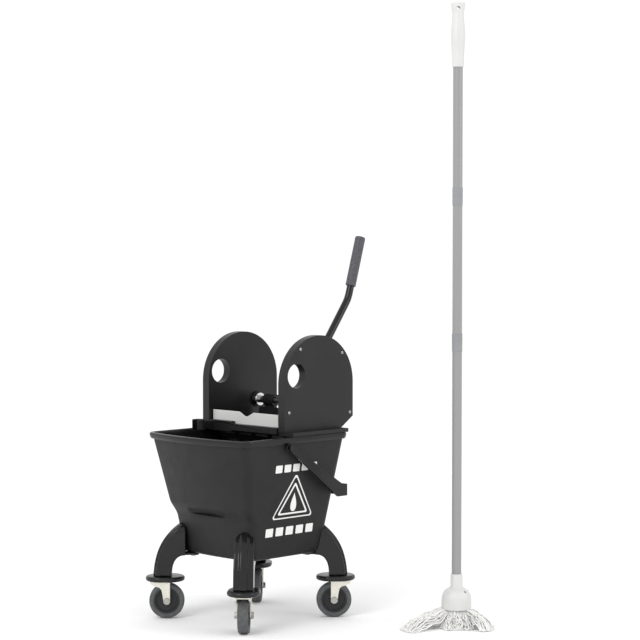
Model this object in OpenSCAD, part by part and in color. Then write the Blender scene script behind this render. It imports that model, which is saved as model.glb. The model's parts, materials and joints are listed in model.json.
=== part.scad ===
// Mop bucket on four casters with a lift-off lever wringer, and a string mop that stands beside it.
// Origin: on the floor, midway between the four casters. +X is the wringer end, +Z is up.

/* [Tub] */
// Length of the tub floor, outside
base_len = 208; // [170:1:260]
// Width of the tub floor, outside
base_wid = 220; // [180:1:270]
// How far the front wall leans out from floor to rim
front_lean = 57; // [45:1:70]
// How far the rear wall leans out from floor to rim
rear_lean = 35; // [25:1:45]
// How far each side wall leans out from floor to rim
side_lean = 40; // [34:1:50]
// Height of the tub floor above the ground
tub_z = 141; // [125:1:170]
// Height of the rim above the ground
rim_z = 399; // [340:1:470]
// Wall thickness of the tub
tub_wall = 4; // [3:0.5:6]
// Corner radius of the tub in plan
corner_r = 18; // [12:1:24]
// Height of the rolled rim bead
bead_h = 14; // [10:1:18]
// How far the rolled rim stands out from the wall
bead_out = 6.5; // [4:0.5:8]
// How far the front wall bows forward at the rim
bow_top = 16; // [8:1:22]
// How far the front wall bows forward at the floor
bow_base = 6; // [2:1:10]
// Depth of the step under the belly of the front wall
belly_step = 8; // [4:1:12]
// Half width of the finger recess under the belly
recess_half = 58; // [40:1:70]

/* [Legs and casters] */
// How far each caster stem stands out past the tub floor, along X
stem_out_x = 34; // [28:1:45]
// How far each caster stem stands out past the tub floor, along Y
stem_out_y = 17.5; // [12:0.5:26]
// How far the tub floor's centre sits behind the casters' centre
base_shift = 4; // [0:1:8]
// Width of a leg across its face
leg_w = 42; // [34:1:48]
// How far a leg climbs the corner of the tub
leg_climb = 63; // [45:1:75]
// How far a leg's middle rib stands proud
rib_out = 5; // [3:0.5:7]
// Wheel diameter
wheel_d = 75; // [70:1:80]
// Tyre width
wheel_w = 23; // [18:1:26]
// Wheel hub diameter
hub_d = 55; // [48:1:60]
// Caster trail: wheel axle behind the swivel axis
trail = 9; // [6:1:14]
// Wheel axle bolt diameter
wheel_bolt_d = 8; // [6:1:10]
// Caster stem diameter
stem_d = 12; // [10:1:14]

/* [Bail] */
// How far the bail pivots stand in front of the casters' centre
bail_x = 33; // [25:1:45]
// Length of a bail arm from its pivot to the cross strap
bail_len = 190.8; // [180:0.2:230]
// Thickness of the bail strap
bail_t = 4; // [3:0.5:5]
// Width of a bail arm at the pivot
bail_w = 12; // [10:1:14]
// Height of the cross strap
bail_grip_h = 25; // [20:1:30]

/* [Wringer] */
// Clear width between the wringer cheeks
mouth_wid = 217; // [180:1:240]
// Thickness of a cheek with its cover
cheek_t = 19.5; // [16:0.5:24]
// Length of a cheek, front to back
cheek_len = 204; // [180:1:220]
// Height of the cheeks above the rim
cheek_h = 207.5; // [180:0.5:230]
// How far the cheeks' front edge stands in front of the casters' centre
cheek_front = 21.5; // [15:0.5:28]
// Finger hole radius
finger_r = 26; // [20:1:30]
// Thickness of the ledges that hang on the rim
ledge_t = 8; // [6:1:10]
// Cross axle diameter
axle_d = 16; // [14:1:20]
// Distance from the cheeks' front edge back to the cross axle
axle_back = 142; // [135:1:150]
// Height of the cross axle above the rim
axle_up = 57; // [50:1:64]
// Inner radius of the curved sieve around the axle
sieve_r = 127; // [118:1:128]
// Lever stroke in degrees
stroke = 55; // [45:1:60]

/* [Lever] */
// Lean of the lower lever from upright, in degrees
lever_lean = 36.2; // [30:0.1:40]
// Lean of the grip from upright, in degrees
grip_lean = 16.4; // [10:0.1:25]
// Distance from the axle to the bend
lever_len = 274; // [240:1:320]
// Distance from the bend to the end of the grip
grip_reach = 144; // [135:1:170]
// Length of the grip sleeve
grip_len = 114; // [90:1:125]
// Grip diameter
grip_d = 23; // [20:1:27]
// Lever tube diameter
tube_d = 16.5; // [14:0.5:18]
// Sideways offset of the lever towards the near side
lever_off = 16; // [0:1:30]

/* [Mop] */
// Total height of the mop
mop_h = 1298; // [1150:1:1450]
// Handle tube diameter
pole_d = 20.4; // [18:0.2:24]
// Bell diameter of the mop head
bell_d = 62.8; // [54:0.2:70]
// Length of the handle grip
mop_grip_len = 132; // [110:1:150]
// Reach of the longest strands
yarn_r = 126; // [105:1:140]
// How far the mop stands behind the casters' centre
mop_x = 238; // [225:1:300]
// How far the mop stands to the near side
mop_y = 377; // [360:1:450]

/* [Hidden] */
$fn = 64;
CORNERS = ["front_near", "front_far", "rear_near", "rear_far"];

eps = 0.01;
run_gap = 0.05;      // radial clearance of a running fit
part_gap = 0.3;      // clearance between pieces that move past each other

// ---- tub form ----
base_front = base_len / 2 - base_shift;
base_rear = base_len / 2 + base_shift;
belly_z = tub_z + 111;
belly_h = 30;
belly_low = front_lean * 0.17;
front_mid = base_front + belly_low + belly_step + 9;
wall_h = (rim_z - tub_z);
function side_y(z) = base_wid / 2 + side_lean * (z - tub_z) / wall_h;
function rear_x(z) = base_rear + rear_lean * (z - tub_z) / wall_h;
function front_x(z) = lookup(z, [
    [tub_z, base_front],
    [belly_z - belly_h, base_front + belly_low],
    [belly_z, front_mid],
    [rim_z, base_front + front_lean]
]);
function bow(z) = bow_base + (bow_top - bow_base) * (z - tub_z) / wall_h;

// One corner of the plan outline, from angle a0 to a1
function arc(cx, cy, r, a0, a1, n) =
    [for (i = [0:n]) let (a = a0 + (a1 - a0) * i / n) [cx, cy] + r * [cos(a), sin(a)]];

// Plan outline of the tub at height z, grown outwards by o
function plan(z, o) =
    let (
        y = side_y(z) + o, xr = rear_x(z) + o, xf = front_x(z) + o, r = max(corner_r + o, 4), b = bow(z),
        yc = y - r, turn = atan(2 * b / yc), ye = yc + r * sin(turn), xe = xf - r + r * cos(turn)
    )
    concat(
        arc(xr - r, -yc, r, -90, 0, 7),
        arc(xr - r, yc, r, 0, 90, 7),
        arc(-xf + r, yc, r, 90, 180 - turn, 7),
        [for (i = [1:11]) let (t = 1 - i / 6) [-xe - b * (1 - t * t), ye * t]],
        arc(-xf + r, -yc, r, 180 + turn, 270, 7)
    );

// Solid through a stack of outlines; each level is [z, grow]
module loft(levels) {
    rings = [for (l = levels) [for (p = plan(l[0], l[1])) [p[0], p[1], l[0]]]];
    n = len(rings[0]);
    m = len(rings);
    points = [for (ring = rings) each ring];
    sides = [for (k = [0:m - 2]) for (i = [0:n - 1])
        [k * n + i, (k + 1) * n + i, (k + 1) * n + (i + 1) % n, k * n + (i + 1) % n]];
    split = [for (f = sides) each [[f[0], f[1], f[2]], [f[0], f[2], f[3]]]];
    floor_face = [for (i = [0:n - 1]) i];
    roof_face = [for (i = [n - 1:-1:0]) (m - 1) * n + i];
    polyhedron(points, concat(split, [floor_face], [roof_face]));
}

bead_z = rim_z - bead_h;
module tub_body() {
    loft([
        [tub_z, -9], [tub_z + 3, -3], [tub_z + 9, 0],
        [belly_z - belly_h, 0], [belly_z, 0], [bead_z - 0.5, 0]
    ]);
}
module tub_form() {
    tub_body();
    loft([
        [bead_z - 0.6, 0], [bead_z, bead_out - 1], [bead_z + 2.5, bead_out],
        [rim_z - 3.5, bead_out], [rim_z - 1, bead_out - 1.5], [rim_z, bead_out - 3.5]
    ]);
}
module tub_hollow() {
    loft([
        [tub_z + tub_wall, -tub_wall - 6], [tub_z + tub_wall + 6, -tub_wall],
        [belly_z - belly_h, -tub_wall], [belly_z, -tub_wall], [rim_z - 2, -tub_wall],
            [rim_z + 1, -tub_wall + 1]
    ]);
}

// Lens-shaped finger recess under the belly
recess_deep = 8;
recess_h = 11;
recess_z = belly_z - belly_h / 2 - 1;
recess_rad = (pow(recess_half, 2) + pow(recess_deep, 2)) / (2 * recess_deep);
module recess_disc(grow) {
    wall_x = -front_x(recess_z) - bow(recess_z) * 0.75;
    translate([wall_x + recess_deep - recess_rad, 0, recess_z])
        cylinder(h = recess_h + 2 * grow, r = recess_rad + grow, center = true, $fn = 180);
}

// ---- places shared by tub, legs and casters ----
stem_x = base_len / 2 + stem_out_x;
stem_y = base_wid / 2 + stem_out_y;
stem_r = norm([stem_x, stem_y]);
function sx(i) = i < 2 ? -1 : 1;
function sy(i) = i % 2 == 0 ? -1 : 1;
module at_corner(i) {
    rotate([0, 0, atan2(sy(i) * stem_y, sx(i) * stem_x)]) children();
}
tongue_screw_r = stem_r - 66;
tongue_t = 5;
tongue_w = 30;
screw_shank_r = 2.5;
bail_z = rim_z - bead_h - 7;
boss_y = side_y(bead_z) + bead_out + 1.4;
bail_y = boss_y + part_gap;
bail_pin_r = 3;

module tub() {
    color("#3c3c3c")
    difference() {
        union() {
            difference() {
                tub_form();
                tub_hollow();
            }
            intersection() {
                tub_body();
                recess_disc(tub_wall);
            }
            // pads inside the floor for the leg screws
            for (i = [0:3]) at_corner(i)
                translate([tongue_screw_r, 0, tub_z + 1]) cylinder(h = 13, r = 8);
            // bosses under the rim for the bail pins
            for (s = [-1, 1]) translate([-bail_x, s * boss_y, bail_z]) rotate([s * 90, 0, 0])
                cylinder(h = boss_y - side_y(bail_z) + tub_wall, r = 6.5);
        }
        recess_disc(0);
        for (i = [0:3]) at_corner(i)
            translate([tongue_screw_r, 0, tub_z - 1]) cylinder(h = 12, r = screw_shank_r);
        for (s = [-1, 1]) translate([-bail_x, s * (boss_y + 1), bail_z]) rotate([s * 90, 0, 0])
            cylinder(h = 9, r = bail_pin_r);
    }
}

// ---- legs ----
function bez(p, t) =
    pow(1 - t, 3) * p[0] + 3 * t * pow(1 - t, 2) * p[1] + 3 * t * t * (1 - t) * p[2] + pow(t, 3) * p[3];
function curve(p, n) = [for (i = [0:n]) bez(p, i / n)];
ring_z = wheel_d + 16; // top of the bumper ring, clear of the wheel
ring_t = 11;
leg_foot = ring_z;
stem_in = 40;        // how far a caster stem goes up into its leg
leg_in = leg_w / 2 - 1;
leg_outer = [
    [stem_r - 40, tub_z + leg_climb + 2], [stem_r + 4, tub_z + 34],
    [stem_r + 17, tub_z - 2], [stem_r + leg_in, leg_foot]
];
leg_inner = [
    [stem_r - leg_in, leg_foot], [stem_r - leg_in, leg_foot + 30],
    [stem_r - 30, tub_z - 4], [stem_r - 48, tub_z - tongue_t]
];
// Side profile of a leg; drop moves its outer curve in, for the face beside the rib
module leg_profile(drop) {
    outer = [for (p = curve(leg_outer, 16)) [p[0] - drop, max(p[1] - drop / 2, leg_foot)]];
    polygon(concat(
        outer, curve(leg_inner, 12),
        [[tongue_screw_r - 12, tub_z - tongue_t], [tongue_screw_r - 12, tub_z], [stem_r - 50, tub_z],
            [stem_r - 60, tub_z + leg_climb]]
    ));
}
module leg_slab(width, drop) {
    rotate([90, 0, 0]) linear_extrude(width, center = true) leg_profile(drop);
}
module leg(i) {
    color("#232325")
    at_corner(i) difference() {
        intersection() {
            union() {
                leg_slab(leg_w, rib_out);
                leg_slab(leg_w * 0.38, 0);
            }
            // rounded head, and a narrower tongue under the floor
            union() {
                translate([stem_r - 50, 0, 0]) rotate([90, 0, 90]) linear_extrude(120) union() {
                    translate([-leg_w / 2, 0]) square([leg_w, tub_z + leg_climb - leg_w / 2]);
                    translate([0, tub_z + leg_climb - leg_w / 2]) circle(leg_w / 2);
                }
                translate([tongue_screw_r - 12, -tongue_w / 2, 0]) cube([60, tongue_w, tub_z]);
            }
        }
        rotate([0, 0, -atan2(sy(i) * stem_y, sx(i) * stem_x)]) tub_body();
        translate([stem_r, 0, leg_foot - 1]) cylinder(h = stem_in + 1 + part_gap, d = stem_d);
        translate([tongue_screw_r, 0, tub_z - 20]) cylinder(h = 40, r = screw_shank_r);
    }
}
module leg_screws() {
    color("silver")
    for (i = [0:3]) at_corner(i) translate([tongue_screw_r, 0, 0]) {
        translate([0, 0, tub_z - tongue_t - 3]) cylinder(h = 3, r = 5);
        translate([0, 0, tub_z - tongue_t - eps]) cylinder(h = tongue_t + 10, r = screw_shank_r);
    }
}

// ---- bumper rings ----
ring_long = 84;
ring_wide = 69;
ring_in = 5.5;       // how far the ring's centre sits inboard of the stem
module ring_layer(z, h, inset) {
    r = ring_wide / 2 - inset;
    span = ring_long - ring_wide;
    translate([stem_r - ring_in, 0, z]) {
        for (s = [-1, 1]) translate([s * span / 2, 0, 0]) cylinder(h = h, r = r);
        translate([-span / 2, -r, 0]) cube([span, 2 * r, h]);
    }
}
module bumper(i) {
    color("#1d1d1f")
    at_corner(i) difference() {
        union() {
            ring_layer(ring_z - ring_t, 2, 2);
            ring_layer(ring_z - ring_t + 2, ring_t - 4, 0);
            ring_layer(ring_z - 2, 2, 2);
        }
        translate([stem_r, 0, ring_z - ring_t - 1]) cylinder(h = ring_t + 2, d = stem_d);
        translate([stem_r, 0, ring_z - ring_t - 1]) cylinder(h = race_t - race_drop + 1, r = race_r);
    }
}

// ---- casters ----
axle_z = wheel_d / 2;
wheel_r = stem_r - trail;
race_t = 2.5;
race_r = 17;
race_drop = 0.5;     // how far the race stands below the bumper ring
plate_t = 2.4;
plate_top = ring_z - ring_t - race_drop - part_gap;
plate_bottom = plate_top - plate_t;
rivet_t = 0.9;
arm_t = 2.8;
arm_in = wheel_w / 2 + 1;
arm_end_r = 7;
fork_front = stem_r + 26;
module caster_stem(i) {
    color("#b9b6ae")
    at_corner(i) translate([stem_r, 0, 0]) {
        translate([0, 0, ring_z - ring_t - race_drop]) cylinder(h = race_t, r = race_r);
        translate([0, 0, plate_bottom - part_gap - rivet_t]) {
            cylinder(h = ring_z + stem_in - plate_bottom + part_gap + rivet_t, d = stem_d);
            cylinder(h = rivet_t, r = 8);
        }
    }
}
module fork_arm() {
    rotate([90, 0, 0]) linear_extrude(arm_t) union() {
        polygon([
            [wheel_r - arm_end_r, plate_top], [fork_front, plate_top], [fork_front - 1, plate_top - 5.5],
            [fork_front - 10, plate_top - 10], [stem_r + 6, plate_top - 13], [stem_r + 2.5, plate_top - 17],
            [stem_r + 0.5, plate_top - 26], [wheel_r + arm_end_r, axle_z], [wheel_r - arm_end_r, axle_z]
        ]);
        translate([wheel_r, axle_z]) circle(arm_end_r);
    }
}
module caster_fork(i) {
    color("#c9c5bb")
    at_corner(i) difference() {
        union() {
            translate([stem_r, 0, plate_bottom]) cylinder(h = plate_t, r = 21.5);
            translate([wheel_r - arm_end_r, -arm_in - arm_t, plate_bottom])
                cube([fork_front - wheel_r + arm_end_r, 2 * (arm_in + arm_t), plate_t]);
            translate([0, -arm_in, 0]) fork_arm();
            translate([0, arm_in + arm_t, 0]) fork_arm();
        }
        translate([stem_r, 0, plate_bottom - 1]) cylinder(h = plate_t + 2, r = stem_d / 2 + run_gap);
        translate([wheel_r, 0, axle_z]) rotate([90, 0, 0]) cylinder(h = 60, d = wheel_bolt_d, center = true);
    }
}
module axle_bolt(i) {
    reach = arm_in + arm_t;
    color("#b9b6ae")
    at_corner(i) translate([wheel_r, 0, axle_z]) rotate([90, 0, 0]) {
        cylinder(h = 2 * reach + 8, d = wheel_bolt_d, center = true);
        translate([0, 0, reach]) cylinder(h = 1, r = 7.5);
        translate([0, 0, reach + 1]) cylinder(h = 3.5, r = 7, $fn = 6);
        translate([0, 0, -reach - 1]) cylinder(h = 1, r = 7.5);
        translate([0, 0, -reach - 5]) cylinder(h = 4, r = 7, $fn = 6);
    }
}
module wheel_hub(i) {
    web = 7;
    color("#47484b")
    at_corner(i) translate([wheel_r, 0, axle_z]) rotate([90, 0, 0]) difference() {
        union() {
            difference() {
                cylinder(h = wheel_w - 3, d = hub_d, center = true);
                for (s = [-1, 1]) translate([0, 0, s * (wheel_w / 2 - 1.5)]) difference() {
                    cylinder(h = wheel_w - 3 - web, d = hub_d - 7, center = true);
                    cylinder(h = wheel_w, d = 20, center = true);
                }
            }
            cylinder(h = 2 * arm_in - 2 * part_gap, d = 16, center = true);
        }
        cylinder(h = wheel_w * 2, r = wheel_bolt_d / 2 + run_gap, center = true);
    }
}
module tyre(i) {
    edge = 3;
    r = wheel_d / 2;
    h = wheel_w / 2;
    color("#5f6164")
    at_corner(i) translate([wheel_r, 0, axle_z]) rotate([90, 0, 0])
        rotate_extrude($fn = 96) polygon([
            [hub_d / 2, -h + 1.5], [r - edge - 2, -h], [r - edge, -h + 0.6],
            [r - 0.8, -h + edge], [r, -h + 2 * edge], [r, h - 2 * edge], [r - 0.8, h - edge],
            [r - edge, h - 0.6], [r - edge - 2, h], [hub_d / 2, h - 1.5]
        ]);
}

// ---- bail ----
// The strap hangs against the leaning rear wall, an arm's length from the pivot
rear_slope = rear_lean / wall_h;
strap_gap = part_gap + 0.4;
arm_span = base_rear + strap_gap + rear_slope * (bail_z + bail_grip_h / 2 - tub_z) + bail_x;
bail_drop = (rear_slope * arm_span + sqrt(pow(rear_slope * arm_span, 2)
    + (1 + pow(rear_slope, 2)) * (pow(bail_len, 2) - pow(arm_span, 2)))) / (1 + pow(rear_slope, 2));
strap_z = bail_z - bail_drop;
strap_top = strap_z + bail_grip_h / 2;
strap_in = rear_x(strap_top) + strap_gap;
module bail() {
    color("#2a2a2c")
    difference() {
        union() {
            for (s = [-1, 1]) translate([0, s > 0 ? bail_y + bail_t : -bail_y, 0]) rotate([90, 0, 0])
                linear_extrude(bail_t) union() {
                translate([-bail_x, bail_z]) circle(bail_w / 2);
                polygon([
                    [-bail_x - bail_w * 0.33, bail_z - bail_w * 0.38],
                    [strap_in - 24, strap_z - bail_grip_h / 2],
                    [strap_in + bail_t, strap_z - bail_grip_h / 2], [strap_in + bail_t, strap_top],
                    [strap_in - 12, strap_top + 2], [-bail_x + bail_w * 0.33, bail_z + bail_w * 0.38]
                ]);
            }
            translate([strap_in, -bail_y - eps, strap_z - bail_grip_h / 2])
                cube([bail_t, 2 * bail_y + 2 * eps, bail_grip_h]);
        }
        for (s = [-1, 1]) translate([-bail_x, s * bail_y, bail_z]) rotate([90, 0, 0])
            cylinder(h = 30, r = bail_pin_r + run_gap, center = true);
    }
}
module bail_pins() {
    color("#b9b6ae")
    for (s = [-1, 1]) translate([-bail_x, s * (bail_y + bail_t + part_gap), bail_z]) rotate([s * 90, 0, 0]) {
        cylinder(h = bail_t + 2 * part_gap + 6, r = bail_pin_r);
        translate([0, 0, -2.5]) cylinder(h = 2.5, r = 5.5);
    }
}

// ---- wringer ----
mouth = mouth_wid / 2;
cheek_z = rim_z + ledge_t;
cheek_top = rim_z + cheek_h;
cheek_r = cheek_len / 2;
cheek_cx = -cheek_front + cheek_r;
cheek_cz = cheek_top - cheek_r;
cheek_rear = -cheek_front + cheek_len;
chamfer_x = 34;
chamfer_z = 23;
cover_t = 2.5;
shell_t = 3;
body_t = cheek_t - cover_t;
axle_x = -cheek_front + axle_back;
axle_h = rim_z + axle_up;
axle_r = axle_d / 2;
finger_x = -cheek_front + 35.5;
finger_z = cheek_top - 83.3;
bush_r = 17;
// Cover screws: two on the arc, one at the front foot, one above the rear chamfer
screw_places = [
    [cheek_cx - (cheek_r - 9) * 0.6, cheek_cz + (cheek_r - 9) * 0.8],
    [cheek_cx + (cheek_r - 9) * 0.74, cheek_cz + (cheek_r - 9) * 0.6726],
    [-cheek_front + 13, cheek_z + 40],
    [cheek_rear - 9.5, cheek_z + 31]
];
ledge_x = [20, 95];  // ledge screws, behind the cheeks' front edge

// Places children on one side; the near side is -Y
module on_side(s) {
    if (s < 0) children();
    else mirror([0, 1, 0]) children();
}
module cheek_outline(inset) {
    intersection() {
        translate([cheek_cx, cheek_cz]) circle(cheek_r - inset, $fn = 128);
        translate([-cheek_front, cheek_cz - eps]) square([cheek_len, cheek_r + eps]);
    }
    polygon([
        [-cheek_front + inset, cheek_cz], [-cheek_front + inset, cheek_z + inset],
        [cheek_rear - chamfer_x - inset * 0.3, cheek_z + inset],
        [cheek_rear - inset, cheek_z + chamfer_z + inset * 0.3], [cheek_rear - inset, cheek_cz]
    ]);
}
// Extrudes a side-view outline outwards from y = -from by t
module plate_y(from, t) {
    translate([0, -from, 0]) rotate([90, 0, 0]) linear_extrude(t) children();
}
stop_r = 28;
stop_post_r = 4;
stop_arm_w = 8;
stop_turn = asin((stop_arm_w / 2 + stop_post_r + part_gap) / stop_r);
stop_angles = [90 + stop_turn, 90 - stroke - stop_turn];
module cheek(s) {
    color("#39393b")
    on_side(s) difference() {
        union() {
            difference() {
                plate_y(mouth, body_t) cheek_outline(0);
                plate_y(mouth + shell_t, body_t) cheek_outline(shell_t);
            }
            plate_y(mouth, body_t) {
                translate([finger_x, finger_z]) circle(finger_r + shell_t);
                for (p = screw_places) translate(p) circle(5.5);
                for (a = stop_angles) translate([axle_x, axle_h] + stop_r * [cos(a), sin(a)])
                    circle(stop_post_r);
            }
            for (x = ledge_x) translate([-cheek_front + x, -mouth - cheek_t / 2, cheek_z])
                cylinder(h = 14, r = 5);
        }
        plate_y(mouth - 1, cheek_t + 2) translate([finger_x, finger_z]) circle(finger_r);
        plate_y(mouth - 1, cheek_t) translate([axle_x, axle_h]) circle(axle_r + 4);
        plate_y(mouth + 5, cheek_t) for (p = screw_places) translate(p) circle(1.9);
        for (x = ledge_x) translate([-cheek_front + x, -mouth - cheek_t / 2, cheek_z - 1])
            cylinder(h = 12, r = 2);
    }
}
module cover(s) {
    color("#3a3a3c")
    on_side(s) plate_y(mouth + body_t, cover_t) difference() {
        cheek_outline(0);
        translate([finger_x, finger_z]) circle(finger_r);
        for (p = screw_places) translate(p) circle(1.9);
    }
}
module cover_screws() {
    color("silver")
    for (s = [-1, 1]) on_side(s) for (p = screw_places) {
        plate_y(mouth + cheek_t, 1.6) translate(p) circle(3.4);
        plate_y(mouth + 8, cheek_t - 8 + eps) translate(p) circle(1.9);
    }
}
module ledge_screws() {
    color("silver")
    for (s = [-1, 1]) on_side(s) for (x = ledge_x) translate([-cheek_front + x, -mouth - cheek_t / 2, 0]) {
        translate([0, 0, rim_z - 2.5]) cylinder(h = 2.5, r = 4);
        translate([0, 0, rim_z - eps]) cylinder(h = ledge_t + 9, r = 2);
    }
}
module axle_bushes() {
    color("#151517")
    for (s = [-1, 1]) on_side(s) difference() {
        union() {
            plate_y(mouth - 5, 5) translate([axle_x, axle_h]) circle(bush_r);
            plate_y(mouth - 5, 10.5) translate([axle_x, axle_h]) circle(axle_r + 4);
        }
        plate_y(mouth - 10, 30) translate([axle_x, axle_h]) circle(axle_r + run_gap);
    }
}
spring_wire_r = 1.4;
spring_mid_r = axle_r + 7;
spring_pitch = 2.6;
spring_y = mouth + shell_t + 5;
arm_y = mouth + body_t - 3.6;
module return_springs() {
    color("#9a9a98")
    for (s = [-1, 1]) on_side(s) {
        translate([axle_x, -spring_y, axle_h]) rotate([90, 0, 0]) rotate_extrude()
            for (k = [-1:1]) translate([spring_mid_r, k * spring_pitch]) circle(spring_wire_r, $fn = 24);
        translate([axle_x - spring_mid_r - 24, -spring_y, axle_h]) rotate([0, 90, 0])
            cylinder(h = 24, r = spring_wire_r - 0.3, $fn = 24);
    }
}

// Sieve basket: ledges on the rim, side plates, and a slotted floor curved about the axle
sieve_t = 3;
sieve_out = sieve_r + sieve_t;
side_plate_t = 3;
basket_in = mouth - side_plate_t;
ledge_front = cheek_front - 3;
ledge_rear = rear_x(rim_z) + 2;
ledge_y = side_y(rim_z) + 1.5;
sieve_rear = rear_x(tub_z + 175) - tub_wall - 4;
module basket_side() {
    intersection() {
        translate([axle_x, axle_h]) circle(sieve_out, $fn = 128);
        translate([-ledge_front, axle_h - sieve_out - 5])
            square([sieve_rear + ledge_front, cheek_z - axle_h + sieve_out + 5]);
    }
}
slot_angles = [for (k = [0:6]) 16 + 9 * k];
module basket() {
    color("#2e2e30")
    difference() {
        union() {
            for (s = [-1, 1]) on_side(s) {
                plate_y(basket_in, side_plate_t) basket_side();
                translate([-ledge_front, -ledge_y, rim_z])
                    cube([ledge_rear + ledge_front, ledge_y - basket_in, ledge_t]);
            }
            difference() {
                plate_y(-basket_in - 1, 2 * basket_in + 2) basket_side();
                plate_y(-basket_in - 2, 2 * basket_in + 4) translate([axle_x, axle_h])
                    circle(sieve_r, $fn = 128);
            }
        }
        // drain slots through the curved floor
        for (a = slot_angles) translate([axle_x, 0, axle_h]) rotate([0, a, 0])
            for (y = [-3:2:3]) translate([0, y * 25, -sieve_r - sieve_t / 2])
                cube([6, 38, 3 * sieve_t], center = true);
        for (s = [-1, 1]) on_side(s) for (x = ledge_x)
            translate([-cheek_front + x, -mouth - cheek_t / 2, rim_z - 1]) cylinder(h = ledge_t + 2, r = 2);
    }
}

// Notched front plate, bent back along its foot onto the sieve
plate_x = axle_x - sieve_out;
front_plate_top = rim_z + 42;
front_plate_foot = rim_z + 1;
front_t = 2.5;
notch_half = 22;
notch_deep = 9;
module front_plate() {
    w = basket_in - part_gap;
    color("#cfcfcc")
    union() {
        translate([plate_x - front_t, 0, 0]) rotate([90, 0, 90]) linear_extrude(front_t) polygon([
            [-w, front_plate_foot], [w, front_plate_foot], [w, front_plate_top],
            [notch_half, front_plate_top],
            [4, front_plate_top - notch_deep], [-4, front_plate_top - notch_deep],
            [-notch_half, front_plate_top], [-w, front_plate_top]
        ]);
        translate([plate_x - front_t, -w, front_plate_foot]) cube([14, 2 * w, front_t]);
    }
}

// Front bar with the mop-pole clip
clip_x = -62;
clip_y = 95;
clip_r = pole_d / 2 + 0.1;
clip_wall = 4.5;
clip_h = 22;
clip_mouth = 15;     // opening that the pole snaps in through
bar_t = 12;
bar_h = 14;
bar_step_y = 34;     // the bar is taller from here to the clip's side
bar_x = plate_x - front_t - bar_t;
bar_low = rim_z + 2;
module clip_bar() {
    color("#303032")
    difference() {
        union() {
            translate([bar_x, -basket_in, bar_low]) cube([bar_t, basket_in + bar_step_y, bar_h]);
            translate([bar_x, bar_step_y, bar_low - 3]) cube([bar_t, basket_in - bar_step_y, clip_h]);
            translate([clip_x + clip_r, clip_y - 7, bar_low])
                cube([bar_x - clip_x - clip_r + 1, 14, clip_h - 4]);
            translate([clip_x, clip_y, bar_low]) cylinder(h = clip_h, r = clip_r + clip_wall);
        }
        translate([clip_x, clip_y, bar_low - 1]) cylinder(h = clip_h + 2, r = clip_r);
        translate([clip_x - 30, clip_y - clip_mouth / 2, bar_low - 1]) cube([30, clip_mouth, clip_h + 2]);
    }
}

// ---- moving press ----
rest_swing = 10;     // the plate hangs this far forward of straight down at rest
press_wid = 2 * (basket_in - 11);
press_len = sieve_r - 4;
press_t = 5;
collar_w = 7;
module cross_axle() {
    color("#a9a9a8")
    translate([axle_x, 0, axle_h]) rotate([90, 0, 0])
        cylinder(h = 2 * (mouth + body_t - 1), r = axle_r, center = true);
}
module axle_collars() {
    color("#d4d4d4")
    for (s = [-1, 1]) on_side(s) difference() {
        plate_y(mouth - 5 - part_gap - collar_w, collar_w) translate([axle_x, axle_h]) circle(14);
        plate_y(0, mouth) translate([axle_x, axle_h]) circle(axle_r);
    }
}
module stop_arms() {
    color("#8f8f8d")
    for (s = [-1, 1]) on_side(s) difference() {
        plate_y(arm_y, 3) union() {
            translate([axle_x, axle_h]) circle(axle_r + 4);
            translate([axle_x - stop_arm_w / 2, axle_h]) square([stop_arm_w, stop_r + 6]);
        }
        plate_y(arm_y - 1, 3.6) translate([axle_x, axle_h]) circle(axle_r);
    }
}
hub_y = 62;
hub_w = 30;
press_hub_r = axle_r + 5;
module press_plate() {
    color("#2b2b2d")
    translate([axle_x, 0, axle_h]) rotate([0, rest_swing, 0]) difference() {
        union() {
            translate([-press_t / 2, -press_wid / 2, -press_len])
                cube([press_t, press_wid, press_len - press_hub_r - 3]);
            for (s = [-1, 1]) translate([0, s * hub_y, 0]) {
                rotate([90, 0, 0]) cylinder(h = hub_w, r = press_hub_r, center = true);
                translate([-press_t / 2, -hub_w / 2, -press_hub_r - 4])
                    cube([press_t, hub_w, press_hub_r + 4 - axle_r - 2]);
            }
            // stiffening ribs on the back of the plate
            for (y = [-press_wid / 2 + 12, -hub_y, -21, 21, hub_y, press_wid / 2 - 12])
                translate([press_t / 2 - eps, y - 2, -press_len + 10])
                    cube([8, 4, press_len - press_hub_r - 20]);
        }
        rotate([90, 0, 0]) cylinder(h = 300, r = axle_r, center = true);
        for (s = [-1, 1]) translate([0, s * hub_y, 0]) rotate([0, 90, 0])
            cylinder(h = 60, r = 2.5, center = true);
    }
}
module press_screws() {
    color("silver")
    translate([axle_x, 0, axle_h]) rotate([0, rest_swing, 0]) for (s = [-1, 1])
        translate([0, s * hub_y, 0]) rotate([0, 90, 0]) {
        translate([0, 0, axle_r]) cylinder(h = press_hub_r - axle_r, r = 2.5);
        translate([0, 0, press_hub_r - eps]) cylinder(h = 3, r = 4.5);
    }
}

// ---- lever ----
lever_r = tube_d / 2;
socket_len = 62;
socket_w = 30;
lever_start = axle_r + 3;
bend_r = 80;
bend_turn = lever_lean - grip_lean;
bend_tan = bend_r * tan(bend_turn / 2);
bolt_at = 44;
// Lever frame: origin on the axle, +Z along the lower lever, the bend turns towards -X
module on_lever() {
    translate([axle_x, -lever_off, axle_h]) rotate([0, lever_lean, 0]) children();
}
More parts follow.
